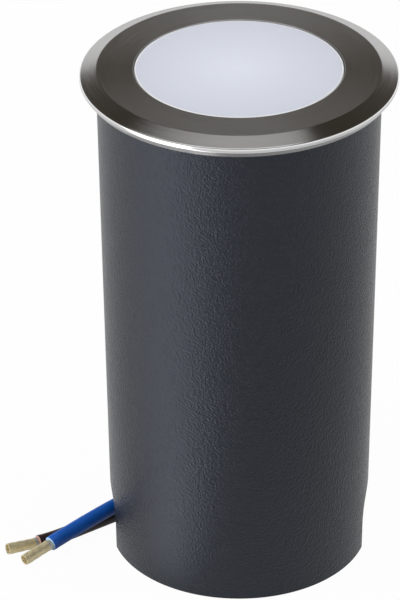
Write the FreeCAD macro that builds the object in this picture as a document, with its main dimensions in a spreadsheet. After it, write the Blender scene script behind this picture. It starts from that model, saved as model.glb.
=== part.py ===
import FreeCAD, Part
import Sketcher
import math
import operator
import os

# A small light that is sunk into a deck or a lawn. A tapered plastic sleeve stands in the
# ground; a sealed light head hangs in it by its metal ring and lifts straight out.
# Millimetres. The origin is on the floor, in the middle of the sleeve's foot; +Z is up.
# The sleeve's two cable notches look to +X and -X, and the leads come out at -X.

os.makedirs("parts", exist_ok=True)
doc = FreeCAD.newDocument("GroundLight")
sheet = doc.addObject("Spreadsheet::Sheet", "Dims")
V = FreeCAD.Vector

# ---------------------------------------------------------------- driving dimensions

DIMENSIONS = {
    # tapered sleeve and its notches
    "sleeve_foot_radius": 27.6,
    "sleeve_draft": 1.5,
    "sleeve_wall": 2.0,
    "notch_half_width": 8.0,
    "notch_height": 13.5,
    "notch_corner": 6.5,
    "rim_gasket_height": 1.0,
    "rim_gasket_inset": 0.15,
    # metal ring
    "flange_overhang": 3.4,
    "bevel_width": 3.5,
    "bevel_drop": 1.2,
    "land_height": 0.8,
    "under_chamfer_width": 1.2,
    "under_chamfer_height": 1.6,
    "ring_plate": 2.2,
    "ledge_width": 3.4,
    "skirt_length": 10.0,
    "skirt_step": 0.4,
    "skirt_wall": 1.2,
    # lens and its two flat seals
    "lens_gap": 0.2,
    "lens_recess": 0.15,
    "lens_side_gap": 0.7,
    "lens_shoulder_height": 3.0,
    "lens_gasket_height": 0.8,
    "lens_gasket_inset": 0.4,
    # housing: optic chamber, deck, driver chamber
    "housing_gap": 0.74,
    "housing_wall": 4.7,
    "collar_gap": 0.2,
    "collar_foot_gap": 0.3,
    "optic_depth": 13.2,
    "deck_thickness": 5.0,
    "driver_depth": 27.0,
    "fin_slots": 24,
    "fin_slot_width": 2.0,
    "fin_slot_depth": 2.0,
    "fin_slot_height": 12.0,
    "fin_slot_margin": 3.4,
    # rubber rings that grip the sleeve's wall
    "grip_section_radius": 1.0,
    "grip_gap": 0.3,
    "grip_groove_gap": 0.1,
    "grip_upper_drop": 5.4,
    "grip_lower_rise": 11.5,
    # screws that hold the ring to the housing
    "ring_screw_count": 3,
    "ring_screw_rise": 3.4,
    "ring_screw_head_radius": 1.7,
    "ring_screw_head_height": 0.85,
    "ring_screw_radius": 1.0,
    "ring_screw_length": 3.2,
    "thread_gap": 0.05,
    "hole_gap": 0.1,
    # light board on the deck, and the reflector
    "pad_thickness": 0.5,
    "led_board_gap": 6.0,
    "board_thickness": 1.6,
    "led_screw_count": 3,
    "led_screw_inset": 2.5,
    "led_screw_radius": 1.0,
    "led_screw_head_radius": 1.8,
    "led_screw_head_height": 1.3,
    "led_screw_bite": 2.4,
    "chip_count": 6,
    "chip_circle": 5.0,
    "chip_side": 3.0,
    "chip_height": 0.8,
    "reflector_collar_height": 2.2,
    "reflector_wall": 0.8,
    "reflector_gap": 0.3,
    # wires from the driver up to the light board
    "led_wire_inset": 4.5,
    "led_wire_radius": 0.45,
    "led_wire_spacing": 1.4,
    "led_wire_overlap": 1.8,
    "led_wire_bend": 1.5,
    "grommet_radius": 2.3,
    "grommet_bore_radius": 1.5,
    "grommet_flange_radius": 3.2,
    "grommet_flange_height": 0.6,
    # driver board and what it carries
    "driver_board_gap": 1.5,
    "standoff_length": 9.4,
    "standoff_radius": 2.2,
    "standoff_inset": 4.0,
    "standoff_count": 3,
    "stud_radius": 1.2,
    "stud_length": 2.0,
    "board_screw_radius": 1.1,
    "board_screw_head_radius": 2.0,
    "board_screw_head_height": 1.4,
    "board_screw_bite": 4.0,
    "core_gap": 0.4,
    "core_width": 12.0,
    "core_depth": 6.0,
    "core_height": 10.0,
    "core_leg": 2.4,
    "coil_overhang": 4.0,
    "coil_gap": 0.1,
    "input_capacitor_radius": 4.0,
    "input_capacitor_height": 9.0,
    "output_capacitor_radius": 3.2,
    "output_capacitor_height": 8.0,
    "capacitor_inset": 9.5,
    "capacitor_along": 8.5,
    "controller_length": 6.0,
    "controller_width": 4.0,
    "controller_height": 1.6,
    "rectifier_side": 6.5,
    "rectifier_height": 2.6,
    "rectifier_along": 8.0,
    "inductor_radius": 3.5,
    "inductor_waist_radius": 2.3,
    "inductor_height": 5.0,
    "inductor_flange": 0.9,
    "inductor_along": 8.5,
    "terminal_depth": 8.0,
    "terminal_height": 9.0,
    "terminal_wall": 1.1,
    "terminal_entry_depth": 5.0,
    "terminal_screw_radius": 1.2,
    "terminal_screw_length": 2.0,
    # rear cap
    "cap_thickness": 4.0,
    "cap_inset": 0.3,
    "spigot_height": 4.0,
    "spigot_gap": 0.15,
    "spigot_wall": 3.8,
    "seal_section_radius": 0.75,
    "seal_gap": 0.05,
    "cap_screw_count": 4,
    "cap_screw_radius": 1.2,
    "cap_screw_head_radius": 2.1,
    "cap_screw_head_height": 1.6,
    "cap_screw_bite": 7.0,
    "vent_gap": 0.65,
    "vent_neck_radius": 2.6,
    "vent_head_radius": 4.2,
    "vent_head_height": 2.4,
    "vent_bore_radius": 1.0,
    # cable gland under the cap, and the space for wiring below it
    "wiring_height": 38.0,
    "gland_washer_height": 1.0,
    "gland_flange_height": 4.0,
    "gland_flange_radius": 9.5,
    "gland_thread_length": 8.0,
    "gland_wall": 1.6,
    "gland_gap": 0.1,
    "locknut_wall": 2.0,
    "locknut_height": 3.5,
    "nut_wall": 2.6,
    "nut_height": 12.6,
    "nut_hex_height": 8.0,
    "nut_nose_wall": 1.9,
    "nut_end_wall": 3.0,
    "nut_clearance": 0.4,
    "insert_length": 17.5,
    "insert_wall": 0.75,
    # the two silicone-covered supply leads and their brass ferrules
    "lead_radius": 1.6,
    "lead_pitch": 5.0,
    "lead_bore_gap": 0.05,
    "ferrule_inset": 0.4,
    "ferrule_wall": 0.25,
    "ferrule_length": 7.3,
    "strand_gap": 0.05,
    "strand_recess": 1.3,
}

OPERATIONS = {"+": operator.add, "-": operator.sub, "*": operator.mul, "/": operator.truediv}


class Size:
    """A number that knows the sheet formula it comes from."""

    def __init__(self, value, formula):
        self.value = value
        self.formula = formula

    def combined(self, sign, other):
        other = as_size(other)
        value = OPERATIONS[sign](self.value, other.value)
        return Size(value, "(" + self.formula + " " + sign + " " + other.formula + ")")

    def __add__(self, other):
        return self.combined("+", other)

    def __sub__(self, other):
        return self.combined("-", other)

    def __mul__(self, other):
        return self.combined("*", other)

    def __truediv__(self, other):
        return self.combined("/", other)

    def __rsub__(self, other):
        return as_size(other) - self

    def __neg__(self):
        return 0 - self


def as_size(number):
    return number if isinstance(number, Size) else Size(float(number), repr(float(number)))


class Sizes:
    """The sheet's cells by name, each as a Size."""

    def __init__(self, dimensions):
        for row, (alias, value) in enumerate(dimensions.items(), start=1):
            sheet.set(f"A{row}", alias)
            sheet.set(f"B{row}", str(value))
            sheet.setAlias(f"B{row}", alias)
            setattr(self, alias, Size(float(value), "Dims." + alias))


d = Sizes(DIMENSIONS)
doc.recompute()

# ---------------------------------------------------------------- heights above the floor

LEAD_EXIT = d.wiring_height
GLAND_FLANGE_FOOT = LEAD_EXIT + d.nut_height + d.nut_clearance
GLAND_SEAT = GLAND_FLANGE_FOOT + d.gland_flange_height
CAP_FOOT = GLAND_SEAT + d.gland_washer_height
HOUSING_FOOT = CAP_FOOT + d.cap_thickness
DECK_FOOT = HOUSING_FOOT + d.driver_depth
DECK_TOP = DECK_FOOT + d.deck_thickness
HOUSING_TOP = DECK_TOP + d.optic_depth
SHOULDER_FOOT = HOUSING_TOP + d.lens_gasket_height
SHOULDER_TOP = SHOULDER_FOOT + d.lens_shoulder_height
LEDGE = SHOULDER_TOP + d.lens_gasket_height
OVERALL_HEIGHT = LEDGE + d.ring_plate
LAND_TOP = OVERALL_HEIGHT - d.bevel_drop
LAND_FOOT = LAND_TOP - d.land_height
FLANGE_UNDER = LAND_FOOT - d.under_chamfer_height
SLEEVE_TOP = FLANGE_UNDER - d.rim_gasket_height
SKIRT_FOOT = FLANGE_UNDER - d.skirt_length
RING_SCREW_HEIGHT = SKIRT_FOOT + d.ring_screw_rise
GRIP_UPPER_HEIGHT = SKIRT_FOOT - d.grip_upper_drop
GRIP_LOWER_HEIGHT = HOUSING_FOOT + d.grip_lower_rise
LED_BOARD_FOOT = DECK_TOP + d.pad_thickness
LED_BOARD_TOP = LED_BOARD_FOOT + d.board_thickness
DRIVER_BOARD_TOP = DECK_FOOT - d.standoff_length
DRIVER_BOARD_FOOT = DRIVER_BOARD_TOP - d.board_thickness
TERMINAL_FOOT = DRIVER_BOARD_FOOT - d.terminal_height

# ---------------------------------------------------------------- radii, from the sleeve inwards

SLEEVE_TOP_RADIUS = d.sleeve_foot_radius + d.sleeve_draft
FLANGE_RADIUS = SLEEVE_TOP_RADIUS + d.flange_overhang


def sleeve_bore_at(height):
    """Radius of the tapered sleeve's inner wall at a height above the floor."""
    return d.sleeve_foot_radius - d.sleeve_wall + d.sleeve_draft / SLEEVE_TOP * height


def grip_centre_radius(height):
    return sleeve_bore_at(height) - d.grip_gap - d.grip_section_radius


HOUSING_RADIUS = sleeve_bore_at(HOUSING_FOOT) - d.housing_gap
CHAMBER_RADIUS = HOUSING_RADIUS - d.housing_wall
SKIRT_OUTER = HOUSING_RADIUS + d.skirt_step
SKIRT_INNER = SKIRT_OUTER - d.skirt_wall
COLLAR_RADIUS = SKIRT_INNER - d.collar_gap
APERTURE_RADIUS = SKIRT_INNER - d.ledge_width
LENS_BOSS_RADIUS = APERTURE_RADIUS - d.lens_gap
LENS_SHOULDER_RADIUS = SKIRT_INNER - d.lens_side_gap
LED_BOARD_RADIUS = CHAMBER_RADIUS - d.led_board_gap
LED_SCREW_CIRCLE = LED_BOARD_RADIUS - d.led_screw_inset
LED_WIRE_CIRCLE = CHAMBER_RADIUS - d.led_wire_inset
REFLECTOR_OUTER = LED_SCREW_CIRCLE - d.led_screw_head_radius - d.reflector_gap
REFLECTOR_THROAT = REFLECTOR_OUTER - d.reflector_wall
DRIVER_BOARD_RADIUS = CHAMBER_RADIUS - d.driver_board_gap
STANDOFF_CIRCLE = CHAMBER_RADIUS - d.standoff_inset
CAPACITOR_ACROSS = DRIVER_BOARD_RADIUS - d.capacitor_inset
SPIGOT_RADIUS = CHAMBER_RADIUS - d.spigot_gap
CAP_SCREW_CIRCLE = CHAMBER_RADIUS + d.housing_wall / 2
CAP_THREAD_RADIUS = d.cap_screw_radius + d.thread_gap
INSERT_RADIUS = d.lead_pitch / 2 + d.lead_radius + d.lead_bore_gap + d.insert_wall
GLAND_BORE_RADIUS = INSERT_RADIUS + d.gland_gap
GLAND_NECK_RADIUS = GLAND_BORE_RADIUS + d.gland_wall
LOCKNUT_RADIUS = GLAND_NECK_RADIUS + d.locknut_wall
NUT_RADIUS = GLAND_NECK_RADIUS + d.nut_wall
NUT_NOSE_RADIUS = INSERT_RADIUS + d.nut_nose_wall
TRANSFORMER_ACROSS = LOCKNUT_RADIUS + d.core_gap + d.core_depth / 2
VENT_ASIDE = (d.gland_flange_radius + d.vent_head_radius + d.vent_gap) * math.cos(math.pi / 4)
FERRULE_RADIUS = d.lead_radius - d.ferrule_inset
RING_SCREW_SEAT = SKIRT_OUTER - d.ring_screw_head_height - d.thread_gap

# ---------------------------------------------------------------- modelling helpers

def bind(item, path, size):
    """Ties one property to the sheet."""
    item.setExpression(path, as_size(size).formula)


def place(item, across=0, along=0, height=0):
    for axis, size in (("x", across), ("y", along), ("z", height)):
        bind(item, "Placement.Base." + axis, size)
    return item


def new_body(label, height=0, across=0, along=0):
    body = doc.addObject("PartDesign::Body", label)
    body.Label = label
    body.AllowCompound = True
    return place(body, across, along, height)


def origin_feature(body, role):
    return [item for item in body.Origin.OriginFeatures if item.Role == role][0]


def new_sketch(body, plane, offset=0):
    sketch = body.newObject("Sketcher::SketchObject", body.Name + "_sketch")
    sketch.AttachmentSupport = (origin_feature(body, plane), [""])
    sketch.MapMode = "FlatFace"
    bind(sketch, "AttachmentOffset.Base.z", offset)
    return sketch


def pin(sketch, geometry, end, across, up):
    """Fixes one point of a sketch from its origin."""
    for kind, size in (("DistanceX", across), ("DistanceY", up)):
        rule = Sketcher.Constraint(kind, -1, 1, geometry, end, as_size(size).value)
        number = sketch.addConstraint(rule)
        name = f"{kind}_{geometry}_{end}"
        sketch.renameConstraint(number, name)
        sketch.setExpression(".Constraints." + name, as_size(size).formula)


def draw_outline(sketch, corners):
    """A closed loop of straight lines through the corners, each (across, up)."""
    points = [V(as_size(across).value, as_size(up).value, 0) for across, up in corners]
    first = sketch.GeometryCount
    for start, end in zip(points, points[1:] + points[:1]):
        sketch.addGeometry(Part.LineSegment(start, end), False)
    for index, (across, up) in enumerate(corners):
        follower = first + (index + 1) % len(corners)
        sketch.addConstraint(Sketcher.Constraint("Coincident", first + index, 2, follower, 1))
        pin(sketch, first + index, 1, across, up)


def draw_circle(sketch, across, up, radius):
    centre = V(as_size(across).value, as_size(up).value, 0)
    index = sketch.addGeometry(Part.Circle(centre, V(0, 0, 1), radius.value), False)
    number = sketch.addConstraint(Sketcher.Constraint("Radius", index, radius.value))
    sketch.renameConstraint(number, f"Radius_{index}")
    sketch.setExpression(f".Constraints.Radius_{index}", radius.formula)
    pin(sketch, index, 3, across, up)


def rectangle(left, right, low, high):
    return [(left, low), (right, low), (right, high), (left, high)]


def regular_polygon(sides, radius):
    turns = [math.radians(360 / sides * side) for side in range(sides)]
    return [(radius * math.cos(turn), radius * math.sin(turn)) for turn in turns]


def turned(body, corners):
    """Turns a half section about the body's own Z axis."""
    sketch = new_sketch(body, "XZ_Plane")
    draw_outline(sketch, corners)
    feature = body.newObject("PartDesign::Revolution", body.Name + "_turned")
    feature.Profile = (sketch, [""])
    feature.ReferenceAxis = (sketch, ["V_Axis"])
    feature.Angle = 360
    return body


def turned_aside(body, corners, axis_start, axis_end):
    """Turns a section about a line drawn in its own sketch, for a screw off the middle."""
    sketch = new_sketch(body, "XZ_Plane")
    draw_outline(sketch, corners)
    ends = [V(as_size(across).value, as_size(up).value, 0) for across, up in (axis_start, axis_end)]
    line = sketch.addGeometry(Part.LineSegment(*ends), True)
    pin(sketch, line, 1, *axis_start)
    pin(sketch, line, 2, *axis_end)
    feature = body.newObject("PartDesign::Revolution", body.Name + "_turned")
    feature.Profile = (sketch, [""])
    feature.ReferenceAxis = (sketch, ["Axis0"])
    feature.Angle = 360
    return feature


def padded(body, outline, height, foot=0):
    """Raises a closed outline by a height."""
    sketch = new_sketch(body, "XY_Plane", foot)
    draw_outline(sketch, outline)
    feature = body.newObject("PartDesign::Pad", body.Name + "_pad")
    feature.Profile = (sketch, [""])
    bind(feature, "Length", height)
    return feature


def repeated(body, feature, count):
    """Copies a feature round the body's Z axis."""
    pattern = body.newObject("PartDesign::PolarPattern", body.Name + "_ring")
    pattern.Originals = [feature]
    pattern.Axis = (origin_feature(body, "Z_Axis"), [""])
    pattern.Angle = 360
    bind(pattern, "Occurrences", count)
    body.Tip = pattern
    return pattern


def cut_up(body, depth, foot=0, circles=(), outlines=()):
    """Cuts upwards from a height, and makes sure that something came off."""
    return cut(body, "XY_Plane", depth, foot, circles, outlines)


def cut_out(body, depth, start, circles):
    """Cuts outwards along +X from a distance off the middle."""
    return cut(body, "YZ_Plane", depth, start, circles, ())


def cut(body, plane, depth, start, circles, outlines):
    doc.recompute()
    before = body.Shape.Volume
    sketch = new_sketch(body, plane, start)
    for across, up, radius in circles:
        draw_circle(sketch, across, up, radius)
    for corners in outlines:
        draw_outline(sketch, corners)
    feature = body.newObject("PartDesign::Pocket", body.Name + "_cut")
    feature.Profile = (sketch, [""])
    feature.Reversed = True
    bind(feature, "Length", depth)
    body.Tip = feature
    doc.recompute()
    if not body.Shape.Volume < before:
        raise ValueError(f"a cut in {body.Label} takes nothing off")
    return feature


def block(label, width, depth, height, across=0, along=0, foot=0):
    """A box centred on (across, along) with its foot at a height."""
    box = doc.addObject("Part::Box", label)
    for path, size in (("Length", width), ("Width", depth), ("Height", height)):
        bind(box, path, size)
    return place(box, across - as_size(width) / 2, along - as_size(depth) / 2, foot)


def rod(label, radius, height, across=0, along=0, foot=0):
    cylinder = doc.addObject("Part::Cylinder", label)
    bind(cylinder, "Radius", radius)
    bind(cylinder, "Height", height)
    return place(cylinder, across, along, foot)


def torus(label, centre_radius, section_radius, height):
    ring = doc.addObject("Part::Torus", label)
    bind(ring, "Radius1", centre_radius)
    bind(ring, "Radius2", section_radius)
    return place(ring, height=height)


def less(label, base, tool):
    result = doc.addObject("Part::Cut", label)
    result.Base = base
    result.Tool = tool
    return result


def joined(label, pieces):
    result = doc.addObject("Part::MultiFuse", label)
    result.Shapes = pieces
    return result


def grouped(label, pieces):
    result = doc.addObject("Part::Compound", label)
    result.Links = pieces
    return result


# ---------------------------------------------------------------- sleeve in the ground

def mounting_sleeve():
    """Moulded plastic tube, open below, with an arched cable notch on two sides."""
    body = new_body("mounting_sleeve")
    turned(body, [
        (d.sleeve_foot_radius - d.sleeve_wall, 0),
        (d.sleeve_foot_radius, 0),
        (SLEEVE_TOP_RADIUS, SLEEVE_TOP),
        (SLEEVE_TOP_RADIUS - d.sleeve_wall, SLEEVE_TOP),
    ])
    doc.recompute()
    whole = body.Shape.Volume
    sketch = new_sketch(body, "YZ_Plane")
    draw_notch(sketch)
    notches = body.newObject("PartDesign::Pocket", "notches")
    notches.Profile = (sketch, [""])
    notches.Midplane = True
    bind(notches, "Length", SLEEVE_TOP_RADIUS * 4)
    body.Tip = notches
    doc.recompute()
    if not body.Shape.Volume < whole:
        raise ValueError("the notches take nothing off the sleeve")
    return body


def draw_notch(sketch):
    """An arch with round top corners that runs out below the sleeve's foot."""
    side = d.notch_half_width
    straight = d.notch_height - d.notch_corner
    flat = d.notch_half_width - d.notch_corner
    below = -d.sleeve_wall
    corner = d.notch_corner.value
    right = V(flat.value, straight.value, 0)
    left = V(-flat.value, straight.value, 0)
    quarter = math.pi / 2
    points = [
        V(-side.value, below.value, 0), V(side.value, below.value, 0),
        V(side.value, straight.value, 0), V(flat.value, d.notch_height.value, 0),
        V(-flat.value, d.notch_height.value, 0), V(-side.value, straight.value, 0),
    ]
    foot, right_side, top, left_side = range(4)
    sketch.addGeometry(Part.LineSegment(points[0], points[1]), False)
    sketch.addGeometry(Part.LineSegment(points[1], points[2]), False)
    sketch.addGeometry(Part.LineSegment(points[3], points[4]), False)
    sketch.addGeometry(Part.LineSegment(points[5], points[0]), False)
    right_arc = sketch.addGeometry(
        Part.ArcOfCircle(Part.Circle(right, V(0, 0, 1), corner), 0, quarter), False)
    left_arc = sketch.addGeometry(
        Part.ArcOfCircle(Part.Circle(left, V(0, 0, 1), corner), quarter, 2 * quarter), False)
    joints = [
        (foot, 2, right_side, 1), (right_side, 2, right_arc, 1), (right_arc, 2, top, 1),
        (top, 2, left_arc, 1), (left_arc, 2, left_side, 1), (left_side, 2, foot, 1),
    ]
    for joint in joints:
        sketch.addConstraint(Sketcher.Constraint("Coincident", *joint))
    pin(sketch, foot, 1, -side, below)
    pin(sketch, foot, 2, side, below)
    pin(sketch, right_side, 2, side, straight)
    pin(sketch, top, 1, flat, d.notch_height)
    pin(sketch, top, 2, -flat, d.notch_height)
    pin(sketch, left_side, 1, -side, straight)
    for arc in (right_arc, left_arc):
        number = sketch.addConstraint(Sketcher.Constraint("Radius", arc, corner))
        sketch.renameConstraint(number, f"Corner_{arc}")
        sketch.setExpression(f".Constraints.Corner_{arc}", d.notch_corner.formula)


def rim_gasket():
    """Flat foam ring between the sleeve's rim and the metal ring."""
    bore = SLEEVE_TOP_RADIUS - d.sleeve_wall
    outer = SLEEVE_TOP_RADIUS - d.rim_gasket_inset
    body = new_body("rim_gasket", SLEEVE_TOP)
    return turned(body, rectangle(bore, outer, 0, d.rim_gasket_height))


# ---------------------------------------------------------------- metal ring and its screws

def trim_ring():
    """Turned steel ring with a bevelled edge and a skirt that slips over the housing."""
    body = new_body("trim_ring", FLANGE_UNDER)
    ledge = LEDGE - FLANGE_UNDER
    top = OVERALL_HEIGHT - FLANGE_UNDER
    turned(body, [
        (APERTURE_RADIUS, ledge),
        (APERTURE_RADIUS, top),
        (FLANGE_RADIUS - d.bevel_width, top),
        (FLANGE_RADIUS, LAND_TOP - FLANGE_UNDER),
        (FLANGE_RADIUS, LAND_FOOT - FLANGE_UNDER),
        (FLANGE_RADIUS - d.under_chamfer_width, 0),
        (SKIRT_OUTER, 0),
        (SKIRT_OUTER, -d.skirt_length),
        (SKIRT_INNER, -d.skirt_length),
        (SKIRT_INNER, ledge),
    ])
    height = RING_SCREW_HEIGHT - FLANGE_UNDER
    shank_hole = (0, height, d.ring_screw_radius + d.hole_gap)
    head_hole = (0, height, d.ring_screw_head_radius + d.hole_gap)
    shank_cut = cut_out(body, d.skirt_wall * 2, SKIRT_INNER - d.skirt_wall, [shank_hole])
    repeated(body, shank_cut, d.ring_screw_count)
    head_cut = cut_out(body, d.skirt_wall, RING_SCREW_SEAT, [head_hole])
    repeated(body, head_cut, d.ring_screw_count)
    return body


def ring_screws():
    """Low-headed screws, set flush in the skirt, from the side."""
    body = new_body("ring_screws", RING_SCREW_HEIGHT)
    seat = RING_SCREW_SEAT
    tip = seat - d.ring_screw_length
    face = seat + d.ring_screw_head_height
    screw = turned_aside(body, [
        (tip, 0),
        (face, 0),
        (face, d.ring_screw_head_radius),
        (seat, d.ring_screw_head_radius),
        (seat, d.ring_screw_radius),
        (tip, d.ring_screw_radius),
    ], (tip, 0), (face, 0))
    repeated(body, screw, d.ring_screw_count)
    return body


# ---------------------------------------------------------------- lens

def lens():
    """Frosted glass with a step: the raised middle fills the ring's opening."""
    body = new_body("lens", SHOULDER_FOOT)
    top = OVERALL_HEIGHT - d.lens_recess - SHOULDER_FOOT
    return turned(body, [
        (0, 0),
        (LENS_SHOULDER_RADIUS, 0),
        (LENS_SHOULDER_RADIUS, d.lens_shoulder_height),
        (LENS_BOSS_RADIUS, d.lens_shoulder_height),
        (LENS_BOSS_RADIUS, top),
        (0, top),
    ])


def lens_gaskets():
    """One flat rubber ring over the lens's step and one under it."""
    inner_upper = APERTURE_RADIUS + d.lens_gasket_inset
    inner_lower = CHAMBER_RADIUS + d.lens_gasket_inset
    for label, inner, height in (
        ("lens_gasket_upper", inner_upper, SHOULDER_TOP),
        ("lens_gasket_lower", inner_lower, HOUSING_TOP),
    ):
        body = new_body(label, height)
        turned(body, rectangle(inner, LENS_SHOULDER_RADIUS, 0, d.lens_gasket_height))


# ---------------------------------------------------------------- housing

def groove_corners(height):
    """Three sides of a groove for a grip ring, from its foot up."""
    floor = grip_centre_radius(height) - d.grip_section_radius - d.grip_groove_gap
    half = d.grip_section_radius + d.grip_groove_gap
    low = height - half - HOUSING_FOOT
    high = height + half - HOUSING_FOOT
    return [(HOUSING_RADIUS, low), (floor, low), (floor, high), (HOUSING_RADIUS, high)]


def housing():
    """Cast aluminium can: optic chamber above the deck, driver chamber below it."""
    body = new_body("housing", HOUSING_FOOT)
    rebate = SKIRT_FOOT - d.collar_foot_gap - HOUSING_FOOT
    top = HOUSING_TOP - HOUSING_FOOT
    deck_top = DECK_TOP - HOUSING_FOOT
    turned(body, [
        (CHAMBER_RADIUS, 0),
        (HOUSING_RADIUS, 0),
        *groove_corners(GRIP_LOWER_HEIGHT),
        *groove_corners(GRIP_UPPER_HEIGHT),
        (HOUSING_RADIUS, rebate),
        (COLLAR_RADIUS, rebate),
        (COLLAR_RADIUS, top),
        (CHAMBER_RADIUS, top),
        (CHAMBER_RADIUS, deck_top),
        (0, deck_top),
        (0, d.driver_depth),
        (CHAMBER_RADIUS, d.driver_depth),
    ])
    cut_fin_slots(body)
    cut_housing_holes(body, deck_top)
    return body


def cut_fin_slots(body):
    """Upright slots between the grip rings leave cooling fins."""
    half = d.fin_slot_width / 2
    inner = HOUSING_RADIUS - d.fin_slot_depth
    slot = rectangle(inner, HOUSING_RADIUS + d.fin_slot_depth, -half, half)
    foot = d.grip_lower_rise + d.grip_section_radius + d.fin_slot_margin
    feature = cut_up(body, d.fin_slot_height, foot, outlines=[slot])
    repeated(body, feature, d.fin_slots)


def cut_housing_holes(body, deck_top):
    """Tapped holes for every screw that bites in the housing, and the wire hole."""
    cap_hole = (CAP_SCREW_CIRCLE, 0, CAP_THREAD_RADIUS)
    cap_cut = cut_up(body, d.cap_screw_bite + d.thread_gap, circles=[cap_hole])
    repeated(body, cap_cut, d.cap_screw_count)
    led_hole = (LED_SCREW_CIRCLE, 0, d.led_screw_radius + d.thread_gap)
    led_depth = d.led_screw_bite + d.thread_gap
    led_cut = cut_up(body, led_depth, deck_top - led_depth, circles=[led_hole])
    repeated(body, led_cut, d.led_screw_count)
    stud_hole = (STANDOFF_CIRCLE, 0, d.stud_radius + d.thread_gap)
    stud_cut = cut_up(body, d.stud_length + d.thread_gap, d.driver_depth, circles=[stud_hole])
    repeated(body, stud_cut, d.standoff_count)
    wire_hole = (-LED_WIRE_CIRCLE, 0, d.grommet_radius + d.hole_gap)
    cut_up(body, d.deck_thickness, d.driver_depth, circles=[wire_hole])
    depth = d.ring_screw_length + d.thread_gap
    start = RING_SCREW_SEAT - depth
    height = RING_SCREW_HEIGHT - HOUSING_FOOT
    side_hole = (0, height, d.ring_screw_radius + d.thread_gap)
    side_cut = cut_out(body, depth, start, [side_hole])
    repeated(body, side_cut, d.ring_screw_count)


def grip_rings():
    """Round rubber rings in the housing's grooves, just clear of the sleeve's wall."""
    for label, height in (
        ("grip_ring_upper", GRIP_UPPER_HEIGHT),
        ("grip_ring_lower", GRIP_LOWER_HEIGHT),
    ):
        torus(label, grip_centre_radius(height), d.grip_section_radius, height)


# ---------------------------------------------------------------- light source on the deck

def disc_with_holes(label, foot, radius, thickness, hole, count):
    """A round board or pad with a ring of holes."""
    body = new_body(label, foot)
    turned(body, rectangle(0, radius, 0, thickness))
    feature = cut_up(body, thickness, circles=[hole])
    repeated(body, feature, count)
    return body


def light_source():
    hole = (LED_SCREW_CIRCLE, 0, d.led_screw_radius + d.hole_gap)
    radius = LED_BOARD_RADIUS
    disc_with_holes("thermal_pad", DECK_TOP, radius, d.pad_thickness, hole, d.led_screw_count)
    disc_with_holes("led_board", LED_BOARD_FOOT, radius, d.board_thickness, hole, d.led_screw_count)
    chips = new_body("led_chips", LED_BOARD_TOP)
    half = d.chip_side / 2
    square = rectangle(d.chip_circle - half, d.chip_circle + half, -half, half)
    repeated(chips, padded(chips, square, d.chip_height), d.chip_count)
    headed_screws(
        "led_board_screws", LED_BOARD_TOP, LED_SCREW_CIRCLE, d.led_screw_count,
        d.led_screw_head_radius, d.led_screw_head_height, d.led_screw_radius,
        -(d.board_thickness + d.pad_thickness + d.led_screw_bite))


def headed_screws(label, seat, circle, count, head_radius, head_height, radius, tip):
    """A ring of screws; the heads rise from the seat, or hang from it where tip is above."""
    body = new_body(label, seat)
    head = head_height if tip.value < 0 else -head_height
    screw = turned_aside(body, [
        (circle, tip),
        (circle + radius, tip),
        (circle + radius, 0),
        (circle + head_radius, 0),
        (circle + head_radius, head),
        (circle, head),
    ], (circle, tip), (circle, head))
    repeated(body, screw, count)
    return body


def reflector_cup():
    """Bright thin cup from the light chips up to the lens; a plain collar, then a flare."""
    body = new_body("reflector_cup", LED_BOARD_TOP)
    mouth = CHAMBER_RADIUS - d.reflector_wall - d.reflector_gap
    top = SHOULDER_FOOT - d.reflector_gap - LED_BOARD_TOP
    flare = top - d.reflector_collar_height
    widening = mouth - REFLECTOR_THROAT
    inside = [(REFLECTOR_THROAT, as_size(0))]
    for rise in (0.0, 0.25, 0.5, 0.75, 1.0):
        radius = REFLECTOR_THROAT + widening * rise ** 0.6
        inside.append((radius, d.reflector_collar_height + flare * rise))
    outside = [(radius + d.reflector_wall, height) for radius, height in inside]
    return turned(body, inside + outside[::-1])


# ---------------------------------------------------------------- wires and round paths

def rounded_path(points, radius_at):
    """Straight runs through the points with a tangent arc at each inner one."""
    edges = []
    start = points[0]
    for index in range(1, len(points) - 1):
        corner = points[index]
        back = (points[index - 1] - corner).normalize()
        ahead = (points[index + 1] - corner).normalize()
        half_turn = (math.pi - back.getAngle(ahead)) / 2
        radius = radius_at(index)
        setback = radius * math.tan(half_turn)
        enter = corner + back * setback
        leave = corner + ahead * setback
        bisector = (back + ahead).normalize()
        middle = corner + bisector * (radius / math.cos(half_turn) - radius)
        edges.append(Part.LineSegment(start, enter).toShape())
        edges.append(Part.Arc(enter, middle, leave).toShape())
        start = leave
    edges.append(Part.LineSegment(start, points[-1]).toShape())
    return Part.Wire(edges)


def tube(label, points, radius, radius_at):
    """A round solid along a rounded path, checked against section times length."""
    path = rounded_path(points, radius_at)
    section = Part.Wire(Part.Circle(points[0], points[1] - points[0], radius).toShape())
    sweep = Part.BRepOffsetAPI.MakePipeShell(path)
    sweep.add(section)
    sweep.build()
    sweep.makeSolid()
    item = doc.addObject("Part::Feature", label)
    item.Label = label
    item.Shape = sweep.shape()
    expected = math.pi * radius ** 2 * path.Length
    print(f"{label}: length {path.Length:.1f} mm, volume {item.Shape.Volume / expected:.4f} of plain")
    return item


def cord_radii(points):
    """The largest arc that each corner's two runs allow."""
    radii = {}
    for index in range(1, len(points) - 1):
        back = points[index - 1] - points[index]
        ahead = points[index + 1] - points[index]
        half_turn = (math.pi - back.getAngle(ahead)) / 2
        radii[index] = 0.45 * min(back.Length, ahead.Length) / math.tan(half_turn)
    return radii


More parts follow.
